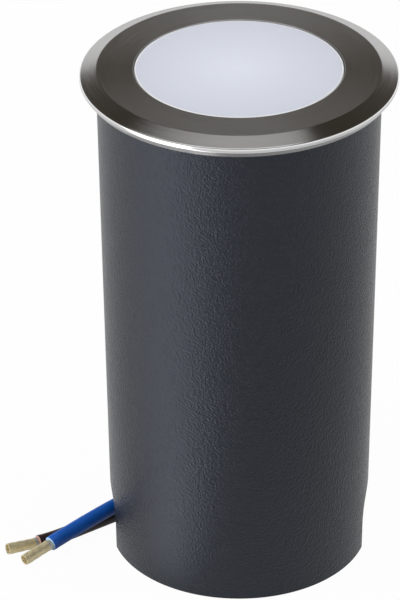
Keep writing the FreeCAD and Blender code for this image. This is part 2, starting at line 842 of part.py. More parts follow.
def led_wires():
    """Two thin wires from the driver up through the deck, bent over the light board."""
    lift = d.led_wire_radius.value + d.lead_bore_gap.value
    foot = DRIVER_BOARD_TOP.value
    bend_height = LED_BOARD_TOP.value + lift
    out = -LED_WIRE_CIRCLE.value
    inner = d.led_wire_overlap.value - LED_BOARD_RADIUS.value
    for label, side in (("led_wire_red", 1), ("led_wire_black", -1)):
        along = side * d.led_wire_spacing.value / 2
        points = [V(out, along, foot), V(out, along, bend_height), V(inner, along, bend_height)]
        tube(label, points, d.led_wire_radius.value, lambda index: d.led_wire_bend.value)


def deck_grommet():
    """Rubber bush in the deck's wire hole."""
    body = new_body("deck_grommet", DECK_FOOT, across=-LED_WIRE_CIRCLE)
    return turned(body, [
        (d.grommet_bore_radius, -d.grommet_flange_height),
        (d.grommet_flange_radius, -d.grommet_flange_height),
        (d.grommet_flange_radius, 0),
        (d.grommet_radius, 0),
        (d.grommet_radius, d.deck_thickness),
        (d.grommet_bore_radius, d.deck_thickness),
    ])


# ---------------------------------------------------------------- driver under the deck

def driver_board():
    """Round circuit board, hung from the deck on three standoffs."""
    hole = (STANDOFF_CIRCLE, 0, d.board_screw_radius + d.hole_gap)
    disc_with_holes(
        "driver_board", DRIVER_BOARD_FOOT, DRIVER_BOARD_RADIUS, d.board_thickness,
        hole, d.standoff_count)
    headed_screws(
        "board_screws", DRIVER_BOARD_FOOT, STANDOFF_CIRCLE, d.standoff_count,
        d.board_screw_head_radius, d.board_screw_head_height, d.board_screw_radius,
        d.board_thickness + d.board_screw_bite)


def board_standoffs():
    """Brass pillars with a stud up into the deck and a tapped hole for the board screw."""
    body = new_body("board_standoffs", DRIVER_BOARD_TOP)
    circle = STANDOFF_CIRCLE
    bore = d.board_screw_radius + d.thread_gap
    bore_top = d.board_screw_bite + d.thread_gap
    top = d.standoff_length
    tip = top + d.stud_length
    pillar = turned_aside(body, [
        (circle, bore_top),
        (circle + bore, bore_top),
        (circle + bore, 0),
        (circle + d.standoff_radius, 0),
        (circle + d.standoff_radius, top),
        (circle + d.stud_radius, top),
        (circle + d.stud_radius, tip),
        (circle, tip),
    ], (circle, bore_top), (circle, tip))
    repeated(body, pillar, d.standoff_count)
    return body


def transformer():
    """Ferrite core with two windows, and the taped coil round its middle leg."""
    foot = DRIVER_BOARD_FOOT - d.core_height
    across = -TRANSFORMER_ACROSS
    window_width = (d.core_width - d.core_leg * 4) / 2
    window_height = d.core_height - d.core_leg * 2
    frame = block("core_frame", d.core_depth, d.core_width, d.core_height, across, 0, foot)
    offset = d.core_leg + window_width / 2
    windows = [
        block(name, d.core_depth, window_width, window_height, across, along, foot + d.core_leg)
        for name, along in (("window_left", -offset), ("window_right", offset))
    ]
    less("transformer_core", frame, joined("core_windows", windows))
    gap = d.coil_gap
    coil = block(
        "coil_block", d.core_depth + d.coil_overhang,
        (d.core_leg + window_width - gap) * 2, window_height - gap * 2,
        across, 0, foot + d.core_leg + gap)
    leg = block(
        "coil_bore", d.core_depth + gap * 2, (d.core_leg + gap) * 2, window_height,
        across, 0, foot + d.core_leg)
    less("transformer_coil", coil, leg)


def driver_parts():
    """Capacitors below the board; controller, rectifier and inductor above it."""
    for label, radius, height, along in (
        ("input_capacitor", d.input_capacitor_radius, d.input_capacitor_height,
         d.capacitor_along),
        ("output_capacitor", d.output_capacitor_radius, d.output_capacitor_height,
         -d.capacitor_along),
    ):
        rod(label, radius, height, CAPACITOR_ACROSS, along, DRIVER_BOARD_FOOT - height)
    block("driver_controller", d.controller_length, d.controller_width, d.controller_height,
          foot=DRIVER_BOARD_TOP)
    block("bridge_rectifier", d.rectifier_side, d.rectifier_side, d.rectifier_height,
          along=d.rectifier_along, foot=DRIVER_BOARD_TOP)
    inductor = new_body("inductor", DRIVER_BOARD_TOP, along=-d.inductor_along)
    turned(inductor, [
        (0, 0),
        (d.inductor_radius, 0),
        (d.inductor_radius, d.inductor_flange),
        (d.inductor_waist_radius, d.inductor_flange),
        (d.inductor_waist_radius, d.inductor_height - d.inductor_flange),
        (d.inductor_radius, d.inductor_height - d.inductor_flange),
        (d.inductor_radius, d.inductor_height),
        (0, d.inductor_height),
    ])


def terminal_block():
    """Two-way terminal right above the gland, with its clamp screws on the +X side."""
    foot = TERMINAL_FOOT
    entry = d.lead_radius + d.hole_gap
    width = d.lead_pitch + (entry + d.terminal_wall) * 2
    screw_length = d.terminal_screw_length
    screw_height = foot + d.terminal_entry_depth / 2
    face = d.terminal_depth / 2
    body = new_body("terminal_block", foot)
    half = width / 2
    padded(body, rectangle(-face, face, -half, half), d.terminal_height)
    pitch = d.lead_pitch / 2
    entries = [(0, -pitch, entry), (0, pitch, entry)]
    cut_up(body, d.terminal_entry_depth, circles=entries)
    hole = d.terminal_screw_radius + d.thread_gap
    rise = d.terminal_entry_depth / 2
    cut_out(body, screw_length * 2, face - screw_length, [(-pitch, rise, hole), (pitch, rise, hole)])
    screws = []
    for name, along in (("clamp_left", -pitch), ("clamp_right", pitch)):
        screw = rod(name, d.terminal_screw_radius, screw_length - d.thread_gap,
                    face - screw_length + d.thread_gap, along, screw_height)
        screw.Placement.Rotation = FreeCAD.Rotation(V(0, 1, 0), 90)
        screws.append(screw)
    grouped("terminal_screws", screws)


def supply_wires():
    """The leads' own ends, from the gland's mouth straight up into the terminal."""
    top = TERMINAL_FOOT + d.terminal_entry_depth - d.thread_gap
    for label, side in (("supply_wire_blue", -1), ("supply_wire_brown", 1)):
        rod(label, d.lead_radius, top - LEAD_EXIT, 0, d.lead_pitch * (side / 2), LEAD_EXIT)


# ---------------------------------------------------------------- rear cap

def rear_cap():
    """Turned cap with a spigot in the driver chamber and a groove for its seal."""
    body = new_body("rear_cap", CAP_FOOT)
    plate = d.cap_thickness
    top = plate + d.spigot_height
    groove_floor = SPIGOT_RADIUS - d.seal_section_radius * 2
    middle = plate + d.spigot_height / 2
    half = d.seal_section_radius + d.seal_gap
    bore = GLAND_NECK_RADIUS + d.hole_gap
    turned(body, [
        (bore, 0),
        (HOUSING_RADIUS - d.cap_inset, 0),
        (HOUSING_RADIUS - d.cap_inset, plate),
        (SPIGOT_RADIUS, plate),
        (SPIGOT_RADIUS, middle - half),
        (groove_floor, middle - half),
        (groove_floor, middle + half),
        (SPIGOT_RADIUS, middle + half),
        (SPIGOT_RADIUS, top),
        (SPIGOT_RADIUS - d.spigot_wall, top),
        (SPIGOT_RADIUS - d.spigot_wall, plate),
        (bore, plate),
    ])
    screw_hole = (CAP_SCREW_CIRCLE, 0, d.cap_screw_radius + d.hole_gap)
    feature = cut_up(body, plate, circles=[screw_hole])
    repeated(body, feature, d.cap_screw_count)
    cut_up(body, plate, circles=[(VENT_ASIDE, VENT_ASIDE, d.vent_neck_radius + d.hole_gap)])
    return body


def rear_cap_parts():
    """Seal in the spigot's groove, the cap screws and the breather vent."""
    middle = CAP_FOOT + d.cap_thickness + d.spigot_height / 2
    seal_centre = CHAMBER_RADIUS - d.seal_gap - d.seal_section_radius
    torus("rear_seal", seal_centre, d.seal_section_radius, middle)
    headed_screws(
        "cap_screws", CAP_FOOT, CAP_SCREW_CIRCLE, d.cap_screw_count,
        d.cap_screw_head_radius, d.cap_screw_head_height, d.cap_screw_radius,
        d.cap_thickness + d.cap_screw_bite)
    vent = new_body("breather_vent", CAP_FOOT, across=VENT_ASIDE, along=VENT_ASIDE)
    turned(vent, [
        (d.vent_bore_radius, -d.vent_head_height),
        (d.vent_head_radius, -d.vent_head_height),
        (d.vent_head_radius, 0),
        (d.vent_neck_radius, 0),
        (d.vent_neck_radius, d.cap_thickness),
        (0, d.cap_thickness),
        (0, 0),
        (d.vent_bore_radius, 0),
    ])


# ---------------------------------------------------------------- cable gland

def gland_washer():
    body = new_body("gland_washer", GLAND_SEAT)
    inner = GLAND_NECK_RADIUS + d.hole_gap
    outer = d.gland_flange_radius * math.cos(math.pi / 6)
    return turned(body, rectangle(inner, outer, 0, d.gland_washer_height))


def gland_body():
    """Brass gland: hexagon under the cap, a neck up through it and a thread below."""
    body = new_body("gland_body", GLAND_FLANGE_FOOT)
    padded(body, regular_polygon(6, d.gland_flange_radius), d.gland_flange_height)
    neck_top = d.gland_flange_height + d.gland_washer_height + d.cap_thickness + d.locknut_height
    turned(body, rectangle(0, GLAND_NECK_RADIUS, -d.gland_thread_length, neck_top))
    bore = (0, 0, GLAND_BORE_RADIUS)
    cut_up(body, neck_top + d.gland_thread_length, -d.gland_thread_length, circles=[bore])
    return body


def gland_locknut():
    """Thin hexagon nut inside the cap."""
    body = new_body("gland_locknut", CAP_FOOT + d.cap_thickness)
    padded(body, regular_polygon(6, LOCKNUT_RADIUS), d.locknut_height)
    cut_up(body, d.locknut_height, circles=[(0, 0, GLAND_NECK_RADIUS + d.gland_gap)])
    return body


def gland_nut():
    """Domed nut that squeezes the rubber insert round the leads."""
    body = new_body("gland_nut", LEAD_EXIT)
    hex_foot = d.nut_height - d.nut_hex_height
    padded(body, regular_polygon(6, NUT_RADIUS), d.nut_hex_height, hex_foot)
    turned(body, [
        (0, 0),
        (NUT_NOSE_RADIUS, 0),
        (NUT_RADIUS * math.cos(math.pi / 6), hex_foot),
        (0, hex_foot),
    ])
    cut_up(body, d.nut_end_wall, circles=[(0, 0, INSERT_RADIUS + d.gland_gap)])
    wide = (0, 0, GLAND_NECK_RADIUS + d.gland_gap)
    cut_up(body, d.nut_height - d.nut_end_wall, d.nut_end_wall, circles=[wide])
    return body


def gland_insert():
    """Rubber plug with one bore for each lead."""
    body = new_body("gland_insert", LEAD_EXIT)
    turned(body, rectangle(0, INSERT_RADIUS, 0, d.insert_length))
    pitch = d.lead_pitch / 2
    bore = d.lead_radius + d.lead_bore_gap
    cut_up(body, d.insert_length, circles=[(0, -pitch, bore), (0, pitch, bore)])
    return body


# ---------------------------------------------------------------- supply leads

def lead_route(side, drop, rest):
    """The free lead's points: straight down out of the gland, then the chosen ones."""
    along = side * d.lead_pitch.value / 2
    exit_height = LEAD_EXIT.value
    return [V(0, along, exit_height), V(0, along, exit_height - drop)] + [V(*point) for point in rest]


# Each lead hangs down from the gland, lies in most of a turn on the floor inside the
# sleeve and leaves through the notch. The blue one lies on the brown one, slides off it
# outside the sleeve and comes down in front of it.
BLUE_DROP = 8.0
BLUE_POINTS = [
    (0.9, -8.6, 22.6), (5.4, -14.3, 15.4), (13.8, -12.6, 9.2), (19.0, -4.0, 5.6),
    (18.2, 6.6, 5.1), (11.8, 15.2, 5.1), (1.8, 17.9, 5.1), (-8.9, 14.2, 5.1),
    (-19.5, 7.0, 5.15), (-30.5, -2.75, 4.9), (-40.4, -11.6, 3.2),
]
BROWN_DROP = 10.0
BROWN_POINTS = [
    (0.2, -4.2, 19.5), (3.9, -11.3, 12.4), (11.8, -12.3, 5.7), (18.4, -5.3, 1.65),
    (18.4, 5.3, 1.65), (12.6, 14.1, 1.65), (2.5, 17.2, 1.65), (-8.2, 14.6, 1.65),
    (-19.5, 7.4, 1.65), (-30.5, -0.5, 1.65), (-40.5, -7.8, 1.65), (-43.15, -9.2, 1.9),
]


def supply_lead(colour, side, drop, rest):
    """One lead with its stranded end in a brass ferrule."""
    points = lead_route(side, drop, rest)
    radii = cord_radii(points)
    print(f"{colour}_lead arc radii:", " ".join(f"{radius:.1f}" for radius in radii.values()))
    tube(colour + "_lead", points, d.lead_radius.value, radii.get)
    heading = (points[-1] - points[-2]).normalize()
    turn = FreeCAD.Rotation(V(0, 0, 1), heading)
    ferrule = new_body(colour + "_ferrule")
    inner = FERRULE_RADIUS - d.ferrule_wall
    turned(ferrule, rectangle(inner, FERRULE_RADIUS, 0, d.ferrule_length))
    strands = new_body(colour + "_strands")
    strand_radius = inner - d.strand_gap
    turned(strands, rectangle(0, strand_radius, 0, d.ferrule_length - d.strand_recess))
    for item in (ferrule, strands):
        for axis in "xyz":
            item.clearExpression("Placement.Base." + axis)
        item.Placement = FreeCAD.Placement(points[-1], turn)
    tip = points[-1] + heading * d.ferrule_length.value
    print(f"{colour}_ferrule from {tuple(points[-1])} to {tuple(tip)}, heading {tuple(heading)}")


# ---------------------------------------------------------------- build and write

def build():
    mounting_sleeve()
    rim_gasket()
    trim_ring()
    ring_screws()
    lens()
    lens_gaskets()
    housing()
    grip_rings()
    light_source()
    reflector_cup()
    led_wires()
    deck_grommet()
    driver_board()
    board_standoffs()
    transformer()
    driver_parts()
    terminal_block()
    supply_wires()
    rear_cap()
    rear_cap_parts()
    gland_washer()
    gland_body()
    gland_locknut()
    gland_nut()
    gland_insert()
    supply_lead("blue", -1, BLUE_DROP, BLUE_POINTS)
    supply_lead("brown", 1, BROWN_DROP, BROWN_POINTS)
    doc.recompute()


def sub_parts():
    """Every object that stands for a piece: not a sketch or feature, nor inside another."""
    shown = []
    for item in doc.Objects:
        inside = [user for user in item.InList if user.isDerivedFrom("Part::Feature")]
        is_piece = item.isDerivedFrom("PartDesign::Body") or not item.isDerivedFrom("PartDesign::Feature")
        has_shape = item.isDerivedFrom("Part::Feature") and not item.isDerivedFrom("Sketcher::SketchObject")
        if has_shape and is_piece and not inside:
            shown.append(item)
    return shown


def write(items):
    for item in doc.Objects:
        if "Invalid" in item.State or "Error" in item.State:
            raise ValueError(f"{item.Label} is {item.State}")
    for item in items:
        shape = item.Shape
        if shape.isNull() or not shape.isValid() or shape.Volume <= 0:
            raise ValueError(f"{item.Label} has no sound shape")
    for item in items:
        item.Shape.exportStep(f"parts/{item.Label}.step")
        print(f"{item.Label}: {len(item.Shape.Solids)} solid(s), {item.Shape.Volume:.1f} mm3")


build()
write(sub_parts())
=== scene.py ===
import math

import bmesh
import bpy
from mathutils import Matrix, Vector


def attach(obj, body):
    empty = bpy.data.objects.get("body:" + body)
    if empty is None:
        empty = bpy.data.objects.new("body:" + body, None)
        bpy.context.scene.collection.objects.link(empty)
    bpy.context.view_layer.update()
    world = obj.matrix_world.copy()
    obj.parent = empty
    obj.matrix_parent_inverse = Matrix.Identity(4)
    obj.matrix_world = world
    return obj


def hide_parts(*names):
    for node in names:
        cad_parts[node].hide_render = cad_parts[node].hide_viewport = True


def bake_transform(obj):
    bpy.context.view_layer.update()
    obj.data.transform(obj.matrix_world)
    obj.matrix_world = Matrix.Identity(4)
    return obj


# A small light for sinking into a deck or lawn: a tapered plastic sleeve in the ground, a
# sealed head with a steel ring that lifts out of it, and two silicone-covered supply leads.
# Metres. The origin is on the floor under the sleeve's middle, +Z is up, the camera looks
# from -Y, and the leads come out of the notch at -X.

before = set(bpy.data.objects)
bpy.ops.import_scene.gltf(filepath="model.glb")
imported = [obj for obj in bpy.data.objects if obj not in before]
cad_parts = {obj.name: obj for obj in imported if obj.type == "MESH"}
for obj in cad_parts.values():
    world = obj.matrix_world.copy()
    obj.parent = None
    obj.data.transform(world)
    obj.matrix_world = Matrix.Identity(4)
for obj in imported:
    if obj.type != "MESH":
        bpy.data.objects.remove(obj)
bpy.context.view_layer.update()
scene = bpy.context.scene
scene.view_settings.view_transform = "Standard"

# ---- Studio: a white sweep, turned up all round, as small goods are photographed on. The
# camera stands 0.85 m away and 31 degrees above, shifted a little to one side of the light.

SWEEP_FLAT = 1.10
SWEEP_BEND = 0.40
SWEEP_TOP = 0.63
SWEEP_STEPS = 96
SWEEP_BEND_STEPS = 8
PAPER_GREY = 0.46
PAPER_SEEN = 0.95
PAPER_STRENGTH = 1.02

# What gloss sees of the paper: its brightness far off, near the foot, behind the object and
# in the pool of the left lamp, and the spans in metres or in direction over which it fades.
PAPER_FAR = 0.92
FAR_SPAN = (0.10, 0.40)
PAPER_NEAR = 0.50
NEAR_SPAN = (0.030, 0.160)
PAPER_BEHIND = 0.35
BEHIND_SPAN = (-0.8, 0.3)
# The pool is painted light, a glow in the paper that only gloss sees, and it fades out towards the foot
# as a painted shadow.
POOL_STRENGTH = 0.98
POOL_SIDE = (-0.87, -0.50, 0.0)
POOL_CENTRE = (-0.010, -0.022, 0.0)
POOL_EDGE = (0.87, 0.92)
POOL_FOOT_SPAN = (0.026, 0.040)


def add_node(tree, kind, inputs=None, **settings):
    """Adds one shader node. Its inputs are numbers, colours or other nodes' sockets."""
    node = tree.nodes.new(kind)
    for name, value in settings.items():
        setattr(node, name, value)
    for name, value in (inputs or {}).items():
        if isinstance(value, bpy.types.NodeSocket):
            tree.links.new(value, node.inputs[name])
        else:
            node.inputs[name].default_value = value
    return node


def maths(tree, operation, *values):
    """One sum on shader values, given as the socket of its result."""
    return add_node(tree, "ShaderNodeMath", dict(enumerate(values)), operation=operation).outputs[0]


def vector_maths(tree, operation, *values):
    """One sum on shader vectors. A length and a dot product give a number."""
    node = add_node(tree, "ShaderNodeVectorMath", dict(enumerate(values)), operation=operation)
    return node.outputs["Value" if operation in ("LENGTH", "DOT_PRODUCT") else "Vector"]


def ramp(tree, value, span, ends=(0.0, 1.0), easing="SMOOTHSTEP"):
    """Runs from one end to the other as the value crosses its span, and holds them outside."""
    return add_node(tree, "ShaderNodeMapRange", {
        "Value": value, "From Min": span[0], "From Max": span[1],
        "To Min": ends[0], "To Max": ends[1]}, interpolation_type=easing).outputs["Result"]


def mixed_colour(tree, share, first, second):
    """A colour between two others, each an RGB triple or a socket."""
    first, second = [
        colour if isinstance(colour, bpy.types.NodeSocket) else (*colour, 1)
        for colour in (first, second)]
    return add_node(tree, "ShaderNodeMix", {
        "Factor": share, "A": first, "B": second}, data_type="RGBA").outputs["Result"]


def new_object(name, mesh):
    """Puts a mesh or curve in the scene under a name."""
    piece = bpy.data.objects.new(name, mesh)
    scene.collection.objects.link(piece)
    return piece


def turned(name, profile, steps, closed=True):
    """Turns (radius, height) points about Z. A point at radius 0 becomes one vertex."""
    build = bmesh.new()
    rings = []
    for radius, height in profile:
        if radius == 0:
            rings.append([build.verts.new((0, 0, height))] * steps)
            continue
        turns = [2 * math.pi * step / steps for step in range(steps)]
        rings.append([
            build.verts.new((radius * math.cos(turn), radius * math.sin(turn), height))
            for turn in turns])
    pairs = list(zip(rings, rings[1:])) + ([(rings[-1], rings[0])] if closed else [])
    for low, high in pairs:
        for step in range(steps):
            after = (step + 1) % steps
            corners = []
            for corner in (low[step], low[after], high[after], high[step]):
                if corner not in corners:
                    corners.append(corner)
            if len(corners) > 2:
                build.faces.new(corners)
    bmesh.ops.recalc_face_normals(build, faces=build.faces)
    mesh = bpy.data.meshes.new(name)
    build.to_mesh(mesh)
    build.free()
    mesh.shade_smooth()
    return mesh


def sweep_profile():
    """Flat floor, a quarter bend and a low upright wall."""
    points = [(0, 0), (SWEEP_FLAT, 0)]
    for step in range(1, SWEEP_BEND_STEPS + 1):
        turn = math.pi / 2 * step / SWEEP_BEND_STEPS
        points.append((
            SWEEP_FLAT + SWEEP_BEND * math.sin(turn),
            SWEEP_BEND * (1 - math.cos(turn))))
    return points + [(SWEEP_FLAT + SWEEP_BEND, SWEEP_TOP)]


def sweep_paper():
    """White paper that the camera and clear glass see as white, with the shadow kept.

    Gloss sees it bright far off and in the left lamp's pool, a little so beside and behind
    the object, and grey elsewhere. Its back is clear, so that no view from outside is blocked.
    """
    paper = bpy.data.materials.new("sweep_paper")
    paper.use_nodes = True
    tree = paper.node_tree
    tree.nodes.clear()
    place = add_node(tree, "ShaderNodeNewGeometry").outputs["Position"]
    away = vector_maths(tree, "LENGTH", place)
    towards = vector_maths(tree, "NORMALIZE", place)
    from_pool = vector_maths(tree, "SUBTRACT", place, POOL_CENTRE)
    out_of_pool = vector_maths(tree, "NORMALIZE", from_pool)
    facing = vector_maths(tree, "DOT_PRODUCT", out_of_pool, POOL_SIDE)
    backward = add_node(tree, "ShaderNodeSeparateXYZ", {"Vector": towards}).outputs["Y"]
    far = ramp(tree, away, FAR_SPAN, (0.0, PAPER_FAR))
    near = ramp(tree, away, NEAR_SPAN, (PAPER_NEAR, 0.0))
    behind = ramp(tree, backward, BEHIND_SPAN, (0.0, PAPER_BEHIND))
    pool = maths(tree, "MULTIPLY", ramp(tree, facing, POOL_EDGE), ramp(tree, away, POOL_FOOT_SPAN))
    far_or_pool = maths(tree, "MAXIMUM", far, pool)
    near_or_behind = maths(tree, "MAXIMUM", near, behind)
    bright = maths(tree, "MAXIMUM", far_or_pool, near_or_behind)
    light_path = add_node(tree, "ShaderNodeLightPath").outputs
    in_gloss = maths(tree, "MULTIPLY", bright, light_path["Is Glossy Ray"])
    in_glass = maths(tree, "MAXIMUM", in_gloss, light_path["Is Transmission Ray"])
    seen = maths(tree, "MAXIMUM", in_glass, light_path["Is Camera Ray"])
    lift = maths(tree, "MULTIPLY", seen, PAPER_SEEN)
    pool_in_gloss = maths(tree, "MULTIPLY", pool, light_path["Is Glossy Ray"])
    strength = maths(tree, "MULTIPLY_ADD", pool_in_gloss, POOL_STRENGTH, PAPER_STRENGTH)
    matte = add_node(tree, "ShaderNodeBsdfDiffuse", {"Color": (PAPER_GREY, PAPER_GREY, PAPER_GREY, 1)})
    white = add_node(tree, "ShaderNodeEmission", {"Color": (1, 1, 1, 1), "Strength": strength})
    face = add_node(tree, "ShaderNodeMixShader", {
        0: lift, 1: matte.outputs[0], 2: white.outputs[0]})
    clear = add_node(tree, "ShaderNodeBsdfTransparent")
    both_sides = add_node(tree, "ShaderNodeMixShader", {
        0: add_node(tree, "ShaderNodeNewGeometry").outputs["Backfacing"],
        1: face.outputs[0], 2: clear.outputs[0]})
    add_node(tree, "ShaderNodeOutputMaterial", {"Surface": both_sides.outputs[0]})
    return paper


sweep = new_object("studio_sweep", turned("studio_sweep", sweep_profile(), SWEEP_STEPS, closed=False))
sweep.data.flip_normals()
sweep.data.materials.append(sweep_paper())

# Camera: at the photograph's viewing angle, worked out from the curves of ring and foot.
CAMERA_TARGET = Vector((0, 0, 0.056))
CAMERA_DISTANCE = 0.85008
CAMERA_RISE = math.radians(30.876)
CAMERA_LENS = 243.0
CAMERA_SHIFT = (-0.0653, 0.0072)
CAMERA_NEAREST = 0.01

camera = bpy.data.objects.new("camera", bpy.data.cameras.new("camera"))
scene.collection.objects.link(camera)
aim = Vector((0, math.cos(CAMERA_RISE), -math.sin(CAMERA_RISE)))
camera.location = CAMERA_TARGET - aim * CAMERA_DISTANCE
camera.rotation_euler = (math.pi / 2 - CAMERA_RISE, 0, 0)
camera.data.lens = CAMERA_LENS
camera.data.shift_x, camera.data.shift_y = CAMERA_SHIFT
camera.data.clip_start = CAMERA_NEAREST
scene.camera = camera

# Soft boxes: a large one on the left, a weaker one on the right, a panel overhead and a
# fill above it. Only the overhead panel shows in metal and gloss. Brightness is what a
# mirror would show, where 1 is white.
SOFT_BOXES = {
    "left": {"place": (-1.06, -0.28, 0.48), "size": (1.10, 0.90), "brightness": 5.0},
    "right": {"place": (1.10, 0.10, 0.50), "size": (0.80, 0.80), "brightness": 2.5},
    "overhead": {"place": (-0.12, -0.02, 1.20), "size": (1.10, 1.10), "brightness": 0.72},
    "fill": {"place": (0.0, -0.10, 1.35), "size": (1.20, 1.20), "brightness": 1.32},
}
BOX_TARGET = Vector((0, 0, 0.06))

for box_name, box in SOFT_BOXES.items():
    lamp = bpy.data.lights.new("soft_box_" + box_name, "AREA")
    lamp.shape = "RECTANGLE"
    lamp.size, lamp.size_y = box["size"]
    lamp.energy = box["brightness"] * math.pi * lamp.size * lamp.size_y
    holder = bpy.data.objects.new("soft_box_" + box_name, lamp)
    scene.collection.objects.link(holder)
    holder.location = box["place"]
    facing = BOX_TARGET - holder.location
    holder.rotation_euler = facing.to_track_quat("-Z", "Y").to_euler()
    holder.visible_camera = False
    holder.visible_glossy = box_name == "overhead"

# World: dim, warm walls, a little darker high up, which the camera sees as white.
LOW_WALLS = (0.076, 0.065, 0.053)
HIGH_WALLS = (0.048, 0.042, 0.032)
WALL_SPAN = (0.45, 0.80)

scene.world = bpy.data.worlds.new("dim_studio")
scene.world.use_nodes = True
room = scene.world.node_tree
upward = add_node(room, "ShaderNodeSeparateXYZ", {
    "Vector": add_node(room, "ShaderNodeTexCoord").outputs["Generated"]})
dim_walls = mixed_colour(room, ramp(room, upward.outputs["Z"], WALL_SPAN), LOW_WALLS, HIGH_WALLS)
camera_ray = add_node(room, "ShaderNodeLightPath").outputs["Is Camera Ray"]
room_colour = mixed_colour(room, camera_ray, dim_walls, (1, 1, 1))
room.links.new(room_colour, room.nodes["Background"].inputs["Color"])

# ---- Supply leads: two limp stranded cores in silicone, blue and dark brown, 3.2 mm thick.
# Each drops out of the gland, lies in most of a turn on the floor inside the sleeve and
# leaves through the notch, the blue one over the brown one.

LEAD_RADIUS = 0.0016
LEAD_SIDES = 28
LEAD_LIP = 0.00007
CUT_FACE_RADIUS = 0.00088
ROUTE_ORDER = 3
ROUTE_STEPS = 10
NOISE_SPAN = (0.3, 0.7)
BUMPS_PER_PATCH = 4
ROUND_MIDDLE = 0.3
# The cut face colours of each lead are far paler than its silicone: a painted highlight, the light
# caught by the cut end.
LEADS = {
    "blue": {
        "length": 0.1303,
        "route": [
            (0, -0.0025, 0.0380), (0, -0.0025, 0.0300), (0.0009, -0.0086, 0.0226),
            (0.0054, -0.0143, 0.0154), (0.0138, -0.0126, 0.0092), (0.0190, -0.0040, 0.0056),
            (0.0182, 0.0066, 0.0051), (0.0118, 0.0152, 0.0051), (0.0018, 0.0179, 0.0051),
            (-0.0089, 0.0142, 0.0051), (-0.0195, 0.0070, 0.00515), (-0.0305, -0.00275, 0.0049),
            (-0.0404, -0.0116, 0.0032)],
        "insulation": ((0.003, 0.072, 0.37), (0.006, 0.115, 0.52)),
        "cut_face_highlight": ((0.36, 0.60, 0.86), (0.56, 0.78, 0.96)),
    },
    "brown": {
        "length": 0.1345,
        "route": [
            (0, 0.0025, 0.0380), (0, 0.0025, 0.0280), (0.0002, -0.0042, 0.0195),
            (0.0039, -0.0113, 0.0124), (0.0118, -0.0123, 0.0057), (0.0184, -0.0053, 0.00165),
            (0.0184, 0.0053, 0.00165), (0.0126, 0.0141, 0.00165), (0.0025, 0.0172, 0.00165),
            (-0.0082, 0.0146, 0.00165), (-0.0195, 0.0074, 0.00165), (-0.0305, -0.0005, 0.00165),
            (-0.0405, -0.0078, 0.00165), (-0.04315, -0.0092, 0.0019)],
        "insulation": ((0.016, 0.006, 0.007), (0.030, 0.011, 0.011)),
        "cut_face_highlight": ((0.42, 0.24, 0.20), (0.60, 0.38, 0.32)),
    },
}


def mottled(name, colours, grain, gloss, bump, **constants):
    """A finish whose colour and roughness drift between two values, with a fine bump.

    colours and gloss each hold those two values, gloss as roughness. grain is the size in
    metres of the patches, and bump the height of the fine unevenness.
    """
    finish = bpy.data.materials.new(name)
    finish.use_nodes = True
    tree = finish.node_tree
    shader = tree.nodes["Principled BSDF"]
    for socket, value in constants.items():
        shader.inputs[socket.replace("_", " ")].default_value = value
    place = add_node(tree, "ShaderNodeTexCoord").outputs["Object"]
    patches = add_node(tree, "ShaderNodeTexNoise", {
        "Vector": place, "Scale": 1 / grain, "Detail": 4.0, "Roughness": 0.6}).outputs["Fac"]
    tree.links.new(mixed_colour(tree, patches, *colours), shader.inputs["Base Color"])
    tree.links.new(ramp(tree, patches, NOISE_SPAN, gloss, "LINEAR"), shader.inputs["Roughness"])
    fine = add_node(tree, "ShaderNodeTexNoise", {
        "Vector": place, "Scale": BUMPS_PER_PATCH / grain, "Detail": 2.0})
    relief = add_node(tree, "ShaderNodeBump", {
        "Height": fine.outputs["Fac"], "Strength": 1.0, "Distance": bump})
    tree.links.new(relief.outputs["Normal"], shader.inputs["Normal"])
    return finish


def smooth_line(name, route):
    """The limp line of a lead, read from the NURBS curve of its route."""
    curve = bpy.data.curves.new(name, "CURVE")
    curve.dimensions = "3D"
    spline = curve.splines.new("NURBS")
    spline.points.add(len(route) - 1)
    for point, place in zip(spline.points, route):
        point.co = (*place, 1)
    spline.order_u = ROUTE_ORDER
    spline.use_endpoint_u = True
    spline.resolution_u = ROUTE_STEPS
    guide = new_object(name, curve)
    mesh = bpy.data.meshes.new_from_object(guide)
    line = [vertex.co.copy() for vertex in mesh.vertices]
    bpy.data.objects.remove(guide)
    return line


def line_frames(line):
    """Point, heading and one side direction along a line, without twist."""
    frames = []
    side = Vector((1, 0, 0))
    for index, point in enumerate(line):
        back = line[max(index - 1, 0)]
        ahead = line[min(index + 1, len(line) - 1)]
        heading = (ahead - back).normalized()
        side = (side - heading * side.dot(heading)).normalized()
        frames.append((point, heading, side))
    return frames


def ring_at(build, frame_here, radius, sides):
    """A ring of points about one frame of a line."""
    point, heading, side = frame_here
    other = heading.cross(side)
    turns = [2 * math.pi * step / sides for step in range(sides)]
    return [
        build.verts.new(point + (side * math.cos(turn) + other * math.sin(turn)) * radius)
        for turn in turns]


def join_rings(build, rings):
    """Faces between each ring of points and the next."""
    faces = []
    for low, high in zip(rings, rings[1:]):
        for step in range(len(low)):
            after = (step + 1) % len(low)
            faces.append(build.faces.new((low[step], low[after], high[after], high[step])))
    return faces


def finished_mesh(build, name, flat_angle=35):
    """The built mesh, smooth but for edges sharper than an angle in degrees."""
    bmesh.ops.recalc_face_normals(build, faces=build.faces)
    mesh = bpy.data.meshes.new(name)
    build.to_mesh(mesh)
    build.free()
    mesh.shade_smooth()
    mesh.set_sharp_from_angle(angle=math.radians(flat_angle))
    return mesh


